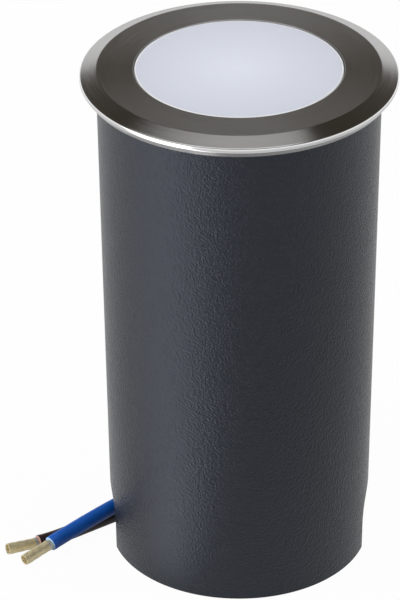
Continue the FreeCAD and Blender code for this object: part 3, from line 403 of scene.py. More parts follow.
def lead_mesh(name, line):
    """Insulation along the line, with a soft lip and a cut face at the bare end, whose pale finish is a
    painted highlight.

    The lip's middle point stands in from the corner by ROUND_MIDDLE of the lip.
    """
    build = bmesh.new()
    frames = line_frames(line)
    rings = [ring_at(build, here, LEAD_RADIUS, LEAD_SIDES) for here in frames[:-1]]
    point, heading, side = frames[-1]
    for setback, radius in (
        (LEAD_LIP, LEAD_RADIUS),
        (LEAD_LIP * ROUND_MIDDLE, LEAD_RADIUS - LEAD_LIP * ROUND_MIDDLE),
        (0, LEAD_RADIUS - LEAD_LIP),
    ):
        rings.append(ring_at(build, (point - heading * setback, heading, side), radius, LEAD_SIDES))
    join_rings(build, rings)
    inner = ring_at(build, frames[-1], CUT_FACE_RADIUS, LEAD_SIDES)
    cut_faces = join_rings(build, [rings[-1], inner])
    cut_faces.append(build.faces.new(inner))
    for face in cut_faces:
        face.material_index = 1
    build.faces.new(rings[0][::-1])
    return finished_mesh(build, name)


# Brass ferrules, crimped on the bare ends: a short neck of bare wire, darkened as painted shade
# of the gap, a tinned collar and a thin tube, a little dented, open at the tip, where the copper
# strands end inside.

FERRULE_RADIUS = 0.0012
FERRULE_BORE = 0.00098
FERRULE_LENGTH = 0.0073
FERRULE_RIM = 0.00007
FERRULE_SIDES = 32
FERRULE_STEPS = 20
DENT = 0.00005
DENTS_ROUND = 3
DENTS_ALONG = 14
DENT_TWIST = 9
DENT_BIAS = 0.6
NECK_RADIUS = 0.00092
NECK_LENGTH = 0.00026
COLLAR_RADIUS = 0.00119
COLLAR_END = 0.00095
COLLAR_ROUND = 0.00006
COLLAR_TAPER = 0.00012
STRAND_RADIUS = 0.00018
STRAND_SIDES = 10
STRAND_RECESS = 0.0017
STRAND_UNEVEN = 0.0002

# The strands lie in circles, given as radius and number. Radians per metre of its radius
# turn each circle and vary its uneven ends, which also vary from strand to strand.
STRAND_CIRCLES = ((0, 1), (0.00037, 6), (0.00074, 12))
CIRCLE_TURN = 400
UNEVEN_TURN = 9000
UNEVEN_STEP = 2.4

# A strand's rounded tip: shares of its radius, and heights above the tip.
STRAND_TIP_CURVE = ((1, -0.00018), (0.8, -0.00006), (0.4, 0))
UP = Vector((0, 0, 1))
ACROSS = Vector((1, 0, 0))

brass = mottled(
    "pale_brass", colours=((0.66, 0.54, 0.28), (0.95, 0.87, 0.62)), grain=0.0009,
    gloss=(0.42, 0.56), bump=0.00007, Metallic=0.65)
tinned_collar = mottled(
    "tinned_collar", colours=((0.40, 0.40, 0.37), (0.74, 0.74, 0.70)), grain=0.0006,
    gloss=(0.42, 0.60), bump=0.00004, Metallic=0.7)
# Dark copper. On each ferrule's neck its darkness is painted shade of the gap between insulation and
# collar.
copper = mottled(
    "copper_strands", colours=((0.14, 0.065, 0.035), (0.30, 0.15, 0.08)), grain=0.0006,
    gloss=(0.5, 0.65), bump=0.00001, Metallic=1.0)


def ferrule_mesh(name):
    """Along +Z from the cut face: the neck, the collar, then the dented open tube."""
    build = bmesh.new()
    tip = FERRULE_LENGTH
    collar = [
        (NECK_RADIUS, 0), (NECK_RADIUS, NECK_LENGTH),
        (COLLAR_RADIUS - COLLAR_ROUND, NECK_LENGTH), (COLLAR_RADIUS, NECK_LENGTH + COLLAR_ROUND),
        (COLLAR_RADIUS, COLLAR_END - COLLAR_TAPER)]
    tube = [
        (FERRULE_RADIUS, COLLAR_END + (tip - FERRULE_RIM - COLLAR_END) * step / FERRULE_STEPS)
        for step in range(FERRULE_STEPS + 1)]
    mouth = [
        (FERRULE_RADIUS - FERRULE_RIM * ROUND_MIDDLE, tip - FERRULE_RIM * ROUND_MIDDLE),
        (FERRULE_RADIUS - FERRULE_RIM, tip), (FERRULE_BORE + FERRULE_RIM / 2, tip),
        (FERRULE_BORE, tip - FERRULE_RIM), (FERRULE_BORE, 0)]
    rings = [
        ring_at(build, (UP * height, UP, ACROSS), radius, FERRULE_SIDES)
        for radius, height in collar + tube + mouth]
    dented = rings[len(collar) + 1:-len(mouth) - 1]
    for vertex in [vertex for ring in dented for vertex in ring]:
        turn = math.atan2(vertex.co.y, vertex.co.x)
        along = vertex.co.z / FERRULE_LENGTH
        wave = math.sin(DENTS_ROUND * turn + DENT_TWIST * along)
        wave *= math.sin(DENTS_ALONG * along + turn)
        vertex.co.xy *= 1 + DENT * (wave - DENT_BIAS) / FERRULE_RADIUS
    join_rings(build, rings + rings[:1])
    for face in build.faces:
        height = face.calc_center_median().z
        # The neck takes the dark copper: painted shade of the gap.
        if height < NECK_LENGTH - COLLAR_ROUND / 2:
            face.material_index = 2
        elif height < COLLAR_END:
            face.material_index = 1
    return finished_mesh(build, name)


def strands_mesh(name):
    """A bundle of fine wires with rounded tips, a little short of the ferrule's mouth."""
    build = bmesh.new()
    tip = FERRULE_LENGTH - STRAND_RECESS
    for circle, count in STRAND_CIRCLES:
        for number in range(count):
            turn = 2 * math.pi * number / count + circle * CIRCLE_TURN
            centre = Vector((circle * math.cos(turn), circle * math.sin(turn), 0))
            shorter = STRAND_UNEVEN * math.sin(number * UNEVEN_STEP + circle * UNEVEN_TURN)
            outline = [(STRAND_RADIUS, 0)]
            outline += [
                (STRAND_RADIUS * share, tip + drop + shorter) for share, drop in STRAND_TIP_CURVE]
            rings = [
                ring_at(build, (centre + UP * height, UP, ACROSS), radius, STRAND_SIDES)
                for radius, height in outline]
            join_rings(build, rings)
            build.faces.new(rings[-1])
            build.faces.new(rings[0][::-1])
    return finished_mesh(build, name)


def fit(piece, slot, *nodes):
    """Hides the CAD nodes that the piece stands for."""
    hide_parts(*nodes)


for colour, lead in LEADS.items():
    line = smooth_line(colour + "_line", lead["route"])
    insulation = mottled(
        colour + "_silicone", colours=lead["insulation"], grain=0.004, gloss=(0.40, 0.52),
        bump=0.00003, Specular_IOR_Level=0.40)
    # The cut face is painted paler than the silicone: a painted highlight of the light on the cut end.
    cut_face_highlight = mottled(
        colour + "_cut_face_highlight", colours=lead["cut_face_highlight"], grain=0.0008, gloss=(0.5, 0.6),
        bump=0.00002)
    tube = new_object(colour + "_lead_insulation", lead_mesh(colour + "_lead", line))
    tube.data.materials.append(insulation)
    tube.data.materials.append(cut_face_highlight)
    last = Vector(lead["route"][-1])
    heading = (last - Vector(lead["route"][-2])).normalized()
    stand = Matrix.Translation(last) @ heading.to_track_quat("Z", "Y").to_matrix().to_4x4()
    ferrule = new_object(colour + "_crimped_ferrule", ferrule_mesh(colour + "_crimped_ferrule"))
    ferrule.data.transform(stand)
    ferrule.data.materials.append(brass)
    ferrule.data.materials.append(tinned_collar)
    ferrule.data.materials.append(copper)
    strands = new_object(colour + "_copper_ends", strands_mesh(colour + "_copper_ends"))
    strands.data.transform(stand)
    strands.data.materials.append(copper)
    fit(tube, "silicone_" + colour, colour + "_lead")
    fit(ferrule, "brass", colour + "_ferrule")
    fit(strands, "copper", colour + "_strands")
    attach(ferrule, "sleeve")
    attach(strands, "sleeve")
    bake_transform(tube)

# ---- Sleeve: a moulded charcoal tube, a little narrower at the foot, open at both ends.
# Its face has a fine leathery grain, and its foot an arched notch on two sides.

SLEEVE_FOOT_RADIUS = 0.0276
SLEEVE_TOP_RADIUS = 0.0291
SLEEVE_TOP = 0.1074
SLEEVE_WALL = 0.002
NOTCH_HALF = 0.0080
NOTCH_TOP = 0.0135
NOTCH_CORNER = 0.0065
NOTCH_SPRING = NOTCH_TOP - NOTCH_CORNER
NOTCH_ARC_STEPS = 12
NOTCH_FLAT_STEPS = 5
SLEEVE_PANEL_STEPS = 84
SLEEVE_RISES = (0, 0.06, 0.2, 0.45, 0.7, 0.9, 1)
SLEEVE_EDGE = 0.00015
SLEEVE_EDGE_STEPS = 3
SLEEVE_FLAT_ANGLE = 30
SHARP_ANGLE = math.radians(40)
PEBBLES_PER_METRE = 2700.0
WRINKLES_PER_METRE = 1900.0
GRAIN_DEPTH = 0.00017


def sleeve_radius(height, inside):
    """The wall's outer or inner radius at a height."""
    draft = (SLEEVE_TOP_RADIUS - SLEEVE_FOOT_RADIUS) * height / SLEEVE_TOP
    return SLEEVE_FOOT_RADIUS + draft - (SLEEVE_WALL if inside else 0)


def notch_outline():
    """(across, up) points of the arch, from where its left side curves in to the right."""
    flat = NOTCH_HALF - NOTCH_CORNER
    quarter = [math.pi / 2 * step / NOTCH_ARC_STEPS for step in range(NOTCH_ARC_STEPS + 1)]
    right = [
        (flat + NOTCH_CORNER * math.cos(turn), NOTCH_SPRING + NOTCH_CORNER * math.sin(turn))
        for turn in quarter]
    left = [(-across, up) for across, up in right]
    top = [
        (-flat + 2 * flat * step / NOTCH_FLAT_STEPS, NOTCH_TOP)
        for step in range(1, NOTCH_FLAT_STEPS)]
    return left + top + right[::-1]


def wall_column(build, facing, across, up, inside):
    """Points from the wall's lower edge to its rim, with None for rows that a notch takes.

    Over a notch, across and up are a point of its arch. Between the notches up is None,
    and across is the share of the way from one notch to the next.
    """
    if up is None:
        edge = math.asin(NOTCH_HALF / sleeve_radius(NOTCH_SPRING, inside))
        turn = facing + edge + (math.pi - 2 * edge) * across
        up = NOTCH_SPRING
        rows = [(turn, 0), (turn, NOTCH_SPRING / 2)]
    elif up == NOTCH_SPRING:
        rows = [
            (facing + math.asin(across / sleeve_radius(height, inside)), height)
            for height in (0, NOTCH_SPRING / 2)]
        turn = facing + math.asin(across / sleeve_radius(up, inside))
    else:
        rows = [None, None]
        turn = facing + math.asin(across / sleeve_radius(up, inside))
    rows += [(turn, up + rise * (SLEEVE_TOP - up)) for rise in SLEEVE_RISES]
    points = []
    for row in rows:
        if row is None:
            points.append(None)
            continue
        angle, height = row
        radius = sleeve_radius(height, inside)
        points.append(build.verts.new((radius * math.cos(angle), radius * math.sin(angle), height)))
    return points


def close_wall(build, outer, inner):
    """Rim and lower edge between two neighbouring columns of the outer and inner wall.

    Each is a pair of columns. Beside a notch one starts lower: its rows are the reveal.
    """
    build.faces.new((outer[0][-1], outer[1][-1], inner[1][-1], inner[0][-1]))
    starts = [sum(point is None for point in column) for column in outer]
    low = max(starts)
    build.faces.new((outer[0][low], outer[1][low], inner[1][low], inner[0][low]))
    side = starts.index(min(starts))
    for row in range(min(starts), low):
        build.faces.new((
            outer[side][row], outer[side][row + 1], inner[side][row + 1], inner[side][row]))


def sleeve_mesh(name):
    """Both walls of the sleeve, round both notches, closed along the rim and the foot."""
    places = []
    for facing in (0, math.pi):
        places += [(facing, across, up) for across, up in notch_outline()]
        places += [
            (facing, step / SLEEVE_PANEL_STEPS, None) for step in range(1, SLEEVE_PANEL_STEPS)]
    build = bmesh.new()
    walls = []
    for inside in (False, True):
        wall = [wall_column(build, *place, inside) for place in places]
        walls.append(list(zip(wall, wall[1:] + wall[:1])))
        for here, there in walls[-1]:
            for row in range(len(here) - 1):
                corners = (here[row], there[row], there[row + 1], here[row + 1])
                if None not in corners:
                    build.faces.new(corners)
    for outer, inner in zip(*walls):
        close_wall(build, outer, inner)
    return finished_mesh(build, name, SLEEVE_FLAT_ANGLE)


def leathery_plastic():
    """Charcoal plastic whose mould was etched: fine pebbles, and a slow drift in tone."""
    finish = mottled(
        "leathery_charcoal", colours=((0.0108, 0.0126, 0.0158), (0.0148, 0.0172, 0.0212)),
        grain=0.006, gloss=(0.17, 0.22), bump=0.00002, Specular_IOR_Level=0.5,
        Specular_Tint=(0.72, 0.80, 1.0, 1))
    tree = finish.node_tree
    shader = tree.nodes["Principled BSDF"]
    place = add_node(tree, "ShaderNodeTexCoord").outputs["Object"]
    pebbles = add_node(tree, "ShaderNodeTexVoronoi", {
        "Vector": place, "Scale": PEBBLES_PER_METRE, "Randomness": 1.0}, feature="SMOOTH_F1")
    wrinkles = add_node(tree, "ShaderNodeTexNoise", {
        "Vector": place, "Scale": WRINKLES_PER_METRE, "Detail": 3.0, "Roughness": 0.65})
    height = maths(tree, "ADD", pebbles.outputs["Distance"], wrinkles.outputs["Fac"])
    relief = add_node(tree, "ShaderNodeBump", {
        "Height": height, "Strength": 0.9, "Distance": GRAIN_DEPTH})
    tree.links.new(relief.outputs["Normal"], shader.inputs["Normal"])
    return finish


sleeve = new_object("moulded_sleeve", sleeve_mesh("moulded_sleeve"))
softened = sleeve.modifiers.new("softened_edges", "BEVEL")
softened.width = SLEEVE_EDGE
softened.segments = SLEEVE_EDGE_STEPS
softened.limit_method = "ANGLE"
softened.angle_limit = SHARP_ANGLE
softened.harden_normals = True
sleeve.data.materials.append(leathery_plastic())
fit(sleeve, "sleeve_plastic", "mounting_sleeve")
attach(sleeve, "sleeve")

# Rim gasket: a flat ring of black closed-cell foam, cut from sheet and laid on the
# sleeve's rim, where the ring's weight presses it.

foam = mottled(
    "black_foam", colours=((0.010, 0.010, 0.011), (0.022, 0.022, 0.023)), grain=0.0007,
    gloss=(0.8, 0.95), bump=0.00006)


def paint(node, finish):
    """Gives a CAD node that keeps its shape its finish."""
    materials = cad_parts[node].data.materials
    materials.clear()
    materials.append(finish)


paint("rim_gasket", foam)

# ---- Ring: stainless steel, turned, with a fine circular grain, a bevelled face, a polished
# outer edge painted paler as a highlight, and a skirt below that slips over the housing, held
# by three side screws.

RING_STEPS = 288
RING_EDGE_INSIDE = 0.03225
RING_EDGE_FOOT = 0.10985
FILLET_STEPS = 3
FLAT_SUPPORT = 1.6
SCRATCHES_PER_TURN = 2.5
RING_PROFILE = [
    (0.0215, 0.1098, 0.0001), (0.0215, 0.1120, 0.00012), (0.0290, 0.1120, 0.0001),
    (0.0325, 0.1108, 0.00024), (0.0325, 0.1100, 0.00024), (0.0313, 0.1084, 0.00015),
    (0.0261, 0.1084, 0.0002), (0.0261, 0.0984, 0.0002), (0.0249, 0.0984, 0.0002),
    (0.0249, 0.1098, 0.0001),
]


def softened_profile(corners):
    """Cuts each (radius, height, fillet) corner back by its fillet on a short curve.

    A point just beyond each curve keeps the flats next to it shaded flat.
    """
    points = []
    for index, (radius, height, fillet) in enumerate(corners):
        if fillet == 0:
            points.append((radius, height))
            continue
        corner = Vector((radius, height))
        before = (Vector(corners[index - 1][:2]) - corner).normalized() * fillet
        after = (Vector(corners[(index + 1) % len(corners)][:2]) - corner).normalized() * fillet
        points.append(tuple(corner + before * FLAT_SUPPORT))
        for step in range(FILLET_STEPS + 1):
            share = step / FILLET_STEPS
            bend = (corner + before).lerp(corner, share).lerp(corner.lerp(corner + after, share), share)
            points.append(tuple(bend))
        points.append(tuple(corner + after * FLAT_SUPPORT))
    return points


def turned_metal(name, colours, grain, gloss, bump):
    """Bright metal with the fine circles that a lathe tool and a polishing pad leave.

    grain is the distance in metres between circles. The rest is as for a mottled finish.
    """
    finish = bpy.data.materials.new(name)
    finish.use_nodes = True
    tree = finish.node_tree
    shader = tree.nodes["Principled BSDF"]
    shader.inputs["Metallic"].default_value = 1.0
    shader.inputs["Anisotropic"].default_value = 0.9
    shader.inputs["Anisotropic Rotation"].default_value = 0.25
    place = add_node(tree, "ShaderNodeTexCoord").outputs["Object"]
    parts = add_node(tree, "ShaderNodeSeparateXYZ", {"Vector": place}).outputs
    flat = add_node(tree, "ShaderNodeCombineXYZ", {"X": parts["X"], "Y": parts["Y"]}).outputs[0]
    turn = maths(tree, "ARCTAN2", parts["Y"], parts["X"])
    circles = add_node(tree, "ShaderNodeCombineXYZ", {
        "X": maths(tree, "MULTIPLY", vector_maths(tree, "LENGTH", flat), 1 / grain),
        "Y": maths(tree, "MULTIPLY", turn, SCRATCHES_PER_TURN),
        "Z": maths(tree, "MULTIPLY", parts["Z"], 1 / grain)})
    scratches = add_node(tree, "ShaderNodeTexNoise", {
        "Vector": circles.outputs[0], "Scale": 1.0, "Detail": 3.0, "Roughness": 0.7}).outputs["Fac"]
    tree.links.new(mixed_colour(tree, scratches, *colours), shader.inputs["Base Color"])
    tree.links.new(ramp(tree, scratches, NOISE_SPAN, gloss, "LINEAR"), shader.inputs["Roughness"])
    relief = add_node(tree, "ShaderNodeBump", {
        "Height": scratches, "Strength": 1.0, "Distance": bump})
    tree.links.new(relief.outputs["Normal"], shader.inputs["Normal"])
    about_z = add_node(tree, "ShaderNodeTangent", direction_type="RADIAL", axis="Z")
    tree.links.new(about_z.outputs["Tangent"], shader.inputs["Tangent"])
    return finish


ring_steel = turned_metal(
    "turned_ring_steel", colours=((0.48, 0.475, 0.475), (0.66, 0.655, 0.65)), grain=0.00030,
    gloss=(0.205, 0.255), bump=0.0000010)
# The outer edge is polished, so smoother, and painted much paler than the ring's steel: a painted
# highlight.
edge_steel = turned_metal(
    "polished_ring_edge_highlight", colours=((0.84, 0.84, 0.85), (0.94, 0.94, 0.95)), grain=0.00030,
    gloss=(0.10, 0.16), bump=0.0000005)
ring = new_object("turned_ring", turned("turned_ring", softened_profile(RING_PROFILE), RING_STEPS))
ring.data.set_sharp_from_angle(angle=SHARP_ANGLE)
ring.data.materials.append(ring_steel)
ring.data.materials.append(edge_steel)
for face in ring.data.polygons:
    if face.center.xy.length > RING_EDGE_INSIDE and face.center.z > RING_EDGE_FOOT:
        face.material_index = 1
fit(ring, "ring_steel", "trim_ring")
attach(ring, "head")

# Ring screws: steel, with pan heads and a cross recess, flush in stepped holes that are
# drilled through the skirt 120 degrees apart.

SCREW_SIDES = 24
RING_SCREW_COUNT = 3
RING_SCREW_HEAD = (0.0017, 0.00085)
RING_SCREW_SHANK = (0.0010, 0.0032)
RING_SCREW_SEAT = 0.0252
RING_SCREW_HEIGHT = 0.1018
HOLE_GAP = 0.0001
HOLE_DEPTH = 0.0020
HOLE_MOUTH = 0.0016

# Shares of a screw's own radii and lengths: its point, the curve of its head and its recess.
POINT_WIDTH = 0.6
POINT_LENGTH = 0.4
HEAD_CURVE = ((1, 0), (1, 0.6), (0.94, 0.87), (0.82, 1))
RECESS_REACH = 0.58
RECESS_HALF_WIDTH = 0.14
RECESS_FLOOR_WIDTH = 0.8
RECESS_FLOOR_HEIGHT = 0.4


def screw_mesh(name, head, shank):
    """A pan-head screw along +Z, seated at height 0. head and shank are (radius, length)."""
    build = bmesh.new()
    head_radius, head_height = head
    shank_radius, shank_length = shank
    outline = [
        (shank_radius * POINT_WIDTH, -shank_length),
        (shank_radius, -shank_length + shank_radius * POINT_LENGTH), (shank_radius, 0)]
    outline += [(head_radius * across, head_height * up) for across, up in HEAD_CURVE]
    rings = [
        ring_at(build, (UP * height, UP, ACROSS), radius, SCREW_SIDES)
        for radius, height in outline]
    join_rings(build, rings)
    build.faces.new(rings[0][::-1])
    tip = head_radius * RECESS_REACH
    arm = head_radius * RECESS_HALF_WIDTH
    quarter = [Vector((tip, -arm, 0)), Vector((tip, arm, 0)), Vector((arm, arm, 0))]
    cross = [
        Matrix.Rotation(math.pi / 2 * turn, 3, "Z") @ corner
        for turn in range(4) for corner in quarter]
    mouth = [build.verts.new(corner + UP * head_height) for corner in cross]
    floor = [
        build.verts.new(corner * RECESS_FLOOR_WIDTH + UP * head_height * RECESS_FLOOR_HEIGHT)
        for corner in cross]
    join_rings(build, [mouth, floor])
    build.faces.new(floor)
    edges = [
        build.edges.get((here, there))
        for loop in (rings[-1], mouth) for here, there in zip(loop, loop[1:] + loop[:1])]
    bmesh.ops.triangle_fill(build, edges=edges, use_beauty=True)
    return finished_mesh(build, name)


def repeated(name, single, places):
    """One mesh that holds a copy of another at each place."""
    build = bmesh.new()
    for place in places:
        copy = single.copy()
        copy.transform(place)
        build.from_mesh(copy)
    return finished_mesh(build, name)


def round_the_axis(count, stand):
    """The same stand, turned about Z in equal steps."""
    turns = [math.radians(360 * turn / count) for turn in range(count)]
    return [Matrix.Rotation(turn, 4, "Z") @ stand for turn in turns]


def drilled(piece, cutter):
    """Cuts the cutter's shape out of the piece, and takes the cutter away."""
    holes = piece.modifiers.new("holes", "BOOLEAN")
    holes.object = cutter
    cut = piece.evaluated_get(bpy.context.evaluated_depsgraph_get())
    whole = bpy.data.meshes.new_from_object(cut)
    piece.modifiers.clear()
    piece.data = whole
    bpy.data.objects.remove(cutter)


screw_steel = mottled(
    "screw_steel", colours=((0.50, 0.50, 0.50), (0.62, 0.62, 0.61)), grain=0.002,
    gloss=(0.25, 0.4), bump=0.00001, Metallic=1.0)
sideways = Matrix.Translation((RING_SCREW_SEAT, 0, RING_SCREW_HEIGHT))
sideways = sideways @ Matrix.Rotation(math.pi / 2, 4, "Y")
ring_screw_places = round_the_axis(RING_SCREW_COUNT, sideways)
ring_screw = screw_mesh("ring_screw", RING_SCREW_HEAD, RING_SCREW_SHANK)
ring_screws = new_object(
    "cross_head_ring_screws", repeated("cross_head_ring_screws", ring_screw, ring_screw_places))
ring_screws.data.materials.append(screw_steel)
fit(ring_screws, "screw_steel", "ring_screws")
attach(ring_screws, "head")
shank_hole = RING_SCREW_SHANK[0] + HOLE_GAP
head_hole = RING_SCREW_HEAD[0] + HOLE_GAP
hole = turned("screw_hole", [
    (0, -HOLE_DEPTH), (shank_hole, -HOLE_DEPTH), (shank_hole, 0), (head_hole, 0),
    (head_hole, HOLE_MOUTH), (0, HOLE_MOUTH)], SCREW_SIDES, closed=False)
drilled(ring, new_object("screw_holes", repeated("screw_holes", hole, ring_screw_places)))

# ---- Lens: a moulded disc of frosted white glass with a step. Its raised middle fills the
# ring's opening, with a ground edge, painted paler as a highlight where it catches the light.

LENS_STEPS = 192
LENS_RADIUS = 0.0213
LENS_TOP = 0.11185
LENS_ROUND = 0.0002
LENS_RIM = 0.00034
LENS_EDGE_SHADE = 0.84
LENS_SHARP_ANGLE = math.radians(50)
LENS_PROFILE = [
    (0, 0.1060, 0), (0.0242, 0.1060, 0.0002), (0.0242, 0.1090, 0.0002),
    (LENS_RADIUS, 0.1090, 0.0002), (LENS_RADIUS, LENS_TOP, LENS_ROUND),
    (LENS_RADIUS - LENS_RIM, LENS_TOP, 0), (0, LENS_TOP, 0),
]


def frosted_glass():
    """White frosted glass, a little darker towards its edge, where less light comes back."""
    finish = mottled(
        "frosted_white_glass", colours=((0.775, 0.81, 0.92), (0.80, 0.835, 0.94)), grain=0.02,
        gloss=(0.40, 0.50), bump=0.000004, Specular_IOR_Level=0.4)
    tree = finish.node_tree
    shader = tree.nodes["Principled BSDF"]
    tint = shader.inputs["Base Color"].links[0].from_socket
    place = add_node(tree, "ShaderNodeTexCoord").outputs["Object"]
    parts = add_node(tree, "ShaderNodeSeparateXYZ", {"Vector": place}).outputs
    flat = add_node(tree, "ShaderNodeCombineXYZ", {"X": parts["X"], "Y": parts["Y"]}).outputs[0]
    away = vector_maths(tree, "LENGTH", flat)
    shade = ramp(tree, away, (0.0, LENS_RADIUS), (1.0, LENS_EDGE_SHADE), "LINEAR")
    shaded = vector_maths(tree, "MULTIPLY", tint, shade)
    tree.links.new(shaded, shader.inputs["Base Color"])
    return finish


lens = new_object(
    "frosted_lens", turned("frosted_lens", softened_profile(LENS_PROFILE), LENS_STEPS, closed=False))
lens.data.set_sharp_from_angle(angle=LENS_SHARP_ANGLE)
lens.data.materials.append(frosted_glass())
# The ground edge is painted paler than the frosted glass: a painted highlight.
ground_edge_highlight = mottled(
    "ground_glass_edge_highlight", colours=((0.88, 0.89, 0.91), (0.95, 0.955, 0.97)), grain=0.004,
    gloss=(0.3, 0.4), bump=0.00001)
lens.data.materials.append(ground_edge_highlight)
for face in lens.data.polygons:
    if face.center.z > LENS_TOP - LENS_ROUND * 2 and face.center.xy.length > LENS_RADIUS - LENS_RIM:
        face.material_index = 1
fit(lens, "lens_glass", "lens")
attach(lens, "head")

# Lens seals: two flat rings of black rubber, punched from sheet. They lie above and below
# the lens's step, pressed between the ring and the housing.

rubber = mottled(
    "black_rubber", colours=((0.014, 0.014, 0.015), (0.026, 0.026, 0.027)), grain=0.002,
    gloss=(0.5, 0.65), bump=0.00001)
for node in ("lens_gasket_upper", "lens_gasket_lower"):
    paint(node, rubber)

# ---- Housing: an aluminium can, cast and then turned, with a deck across its middle, upright
# cooling fins, and two grooves for the rings that grip the sleeve.

HOUSING_EDGE = 0.00018
HOUSING_FLAT_ANGLE = 32
SAME_PLACE = 0.000001
SAME_FACE_ANGLE = math.radians(0.3)


def eased_copy(name, node, width):
    """The CAD node's shape with every sharp edge rounded, as deburring leaves it."""
    build = bmesh.new()
    build.from_mesh(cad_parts[node].data)
    bmesh.ops.remove_doubles(build, verts=build.verts, dist=SAME_PLACE)
    bmesh.ops.dissolve_limit(
        build, angle_limit=SAME_FACE_ANGLE, verts=build.verts, edges=build.edges)
    sharp = [edge for edge in build.edges if edge.calc_face_angle(0) > SHARP_ANGLE]
    bmesh.ops.bevel(
        build, geom=sharp, offset=width, offset_type="OFFSET", segments=2, profile=0.5,
        affect="EDGES", clamp_overlap=True, harden_normals=False)
    return new_object(name, finished_mesh(build, name, HOUSING_FLAT_ANGLE))


aluminium = turned_metal(
    "turned_aluminium", colours=((0.40, 0.40, 0.41), (0.52, 0.52, 0.53)), grain=0.0003,
    gloss=(0.32, 0.42), bump=0.000002)
housing = eased_copy("turned_housing", "housing", HOUSING_EDGE)
housing.data.materials.append(aluminium)
fit(housing, "housing_aluminium", "housing")
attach(housing, "head")

# Grip rings: two round rings of moulded black rubber, stretched into the housing's grooves,
# that keep the head steady in the sleeve.

for node in ("grip_ring_upper", "grip_ring_lower"):
    paint(node, rubber)

# ---- Thermal pad: a disc of soft grey silicone, cut from sheet. It lies on the housing's deck
# and carries the light board's heat into it.

pad = mottled(
    "thermal_pad", colours=((0.36, 0.38, 0.41), (0.46, 0.48, 0.51)), grain=0.003,
    gloss=(0.6, 0.75), bump=0.00002)
paint("thermal_pad", pad)

# Light board: a round board under white solder mask, screwed down on the pad. Soldered to it
# are six chips in a circle, with yellow phosphor cast over them.

white_board = mottled(
    "white_solder_mask", colours=((0.74, 0.74, 0.72), (0.82, 0.82, 0.80)), grain=0.004,
    gloss=(0.3, 0.4), bump=0.00001)
phosphor = mottled(
    "yellow_phosphor", colours=((0.80, 0.60, 0.10), (0.90, 0.74, 0.20)), grain=0.0008,
    gloss=(0.3, 0.45), bump=0.00002)
paint("led_board", white_board)
paint("led_chips", phosphor)
paint("led_board_screws", screw_steel)

# Reflector cup: thin moulded plastic with a bright metal film. It stands on the light board
# round the chips and flares up to the lens.

metallised = mottled(
    "metallised_plastic", colours=((0.80, 0.81, 0.83), (0.88, 0.89, 0.90)), grain=0.006,
    gloss=(0.12, 0.22), bump=0.00001, Metallic=1.0)
paint("reflector_cup", metallised)

# Light wires: fine copper in red and in black plastic, from the driver up through a rubber
# bush in the deck, and bent over to the light board's edge.

red_wire = mottled(
    "red_insulation", colours=((0.45, 0.02, 0.02), (0.60, 0.03, 0.03)), grain=0.003,
    gloss=(0.3, 0.4), bump=0.00001)
black_wire = mottled(
    "black_insulation", colours=((0.015, 0.015, 0.015), (0.03, 0.03, 0.03)), grain=0.003,
    gloss=(0.3, 0.4), bump=0.00001)
paint("led_wire_red", red_wire)
paint("led_wire_black", black_wire)
paint("deck_grommet", rubber)

# ---- Driver board: a round circuit board under green solder mask, hung from the deck on
# three turned brass pillars, with a steel screw into each.

green_board = mottled(
    "green_solder_mask", colours=((0.015, 0.14, 0.05), (0.03, 0.24, 0.09)), grain=0.004,
    gloss=(0.3, 0.42), bump=0.00002)
paint("driver_board", green_board)
paint("board_screws", screw_steel)
paint("board_standoffs", brass)

# Transformer and choke: cores of dark pressed ferrite, soldered to the driver board. The
# transformer's coil is wound copper under yellow tape.

ferrite = mottled(
    "dark_ferrite", colours=((0.035, 0.035, 0.038), (0.06, 0.06, 0.065)), grain=0.001,
    gloss=(0.55, 0.7), bump=0.00002)
coil_tape = mottled(
    "yellow_coil_tape", colours=((0.72, 0.50, 0.06), (0.85, 0.66, 0.12)), grain=0.004,
    gloss=(0.25, 0.35), bump=0.00001)
paint("transformer_core", ferrite)
paint("transformer_coil", coil_tape)
paint("inductor", ferrite)

# Capacitors: two aluminium cans, each in a dark blue plastic sleeve shrunk onto it. They
# hang side by side from the board.

can_sleeve = mottled(
    "capacitor_sleeve", colours=((0.05, 0.06, 0.16), (0.10, 0.12, 0.28)), grain=0.005,
    gloss=(0.3, 0.4), bump=0.00001)
paint("input_capacitor", can_sleeve)
paint("output_capacitor", can_sleeve)

# Controller and rectifier: two chips moulded in black plastic, soldered on the upper side of
# the board.

black_package = mottled(
    "moulded_package", colours=((0.020, 0.020, 0.021), (0.036, 0.036, 0.037)), grain=0.0012,
    gloss=(0.55, 0.7), bump=0.00001)
paint("driver_controller", black_package)
paint("bridge_rectifier", black_package)

# Terminal block: moulded green plastic with two steel clamp screws in its side, right above
# the gland, from which the leads' own ends rise into it.

terminal_plastic = mottled(
    "terminal_plastic", colours=((0.03, 0.28, 0.10), (0.06, 0.38, 0.14)), grain=0.004,
    gloss=(0.35, 0.45), bump=0.00001)
paint("terminal_block", terminal_plastic)
paint("terminal_screws", screw_steel)
for colour in LEADS:
    paint("supply_wire_" + colour, bpy.data.materials[colour + "_silicone"])

# ---- Rear cap: turned aluminium, screwed up against the housing's foot. A round rubber seal
# lies in a groove of its spigot, and a plastic breather vent is pressed through its plate.

vent_plastic = mottled(
    "vent_plastic", colours=((0.025, 0.025, 0.026), (0.045, 0.045, 0.046)), grain=0.002,
    gloss=(0.45, 0.6), bump=0.00002)
rear_cap = eased_copy("turned_rear_cap", "rear_cap", HOUSING_EDGE)
rear_cap.data.materials.append(aluminium)
fit(rear_cap, "housing_aluminium", "rear_cap")
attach(rear_cap, "head")
paint("rear_seal", rubber)
paint("breather_vent", vent_plastic)

# ---- Gland: nickel-plated brass, turned from hexagon bar. The body's neck goes up through the
# cap, between a rubber washer and a locknut, and the nut squeezes a rubber insert round the
# two leads.

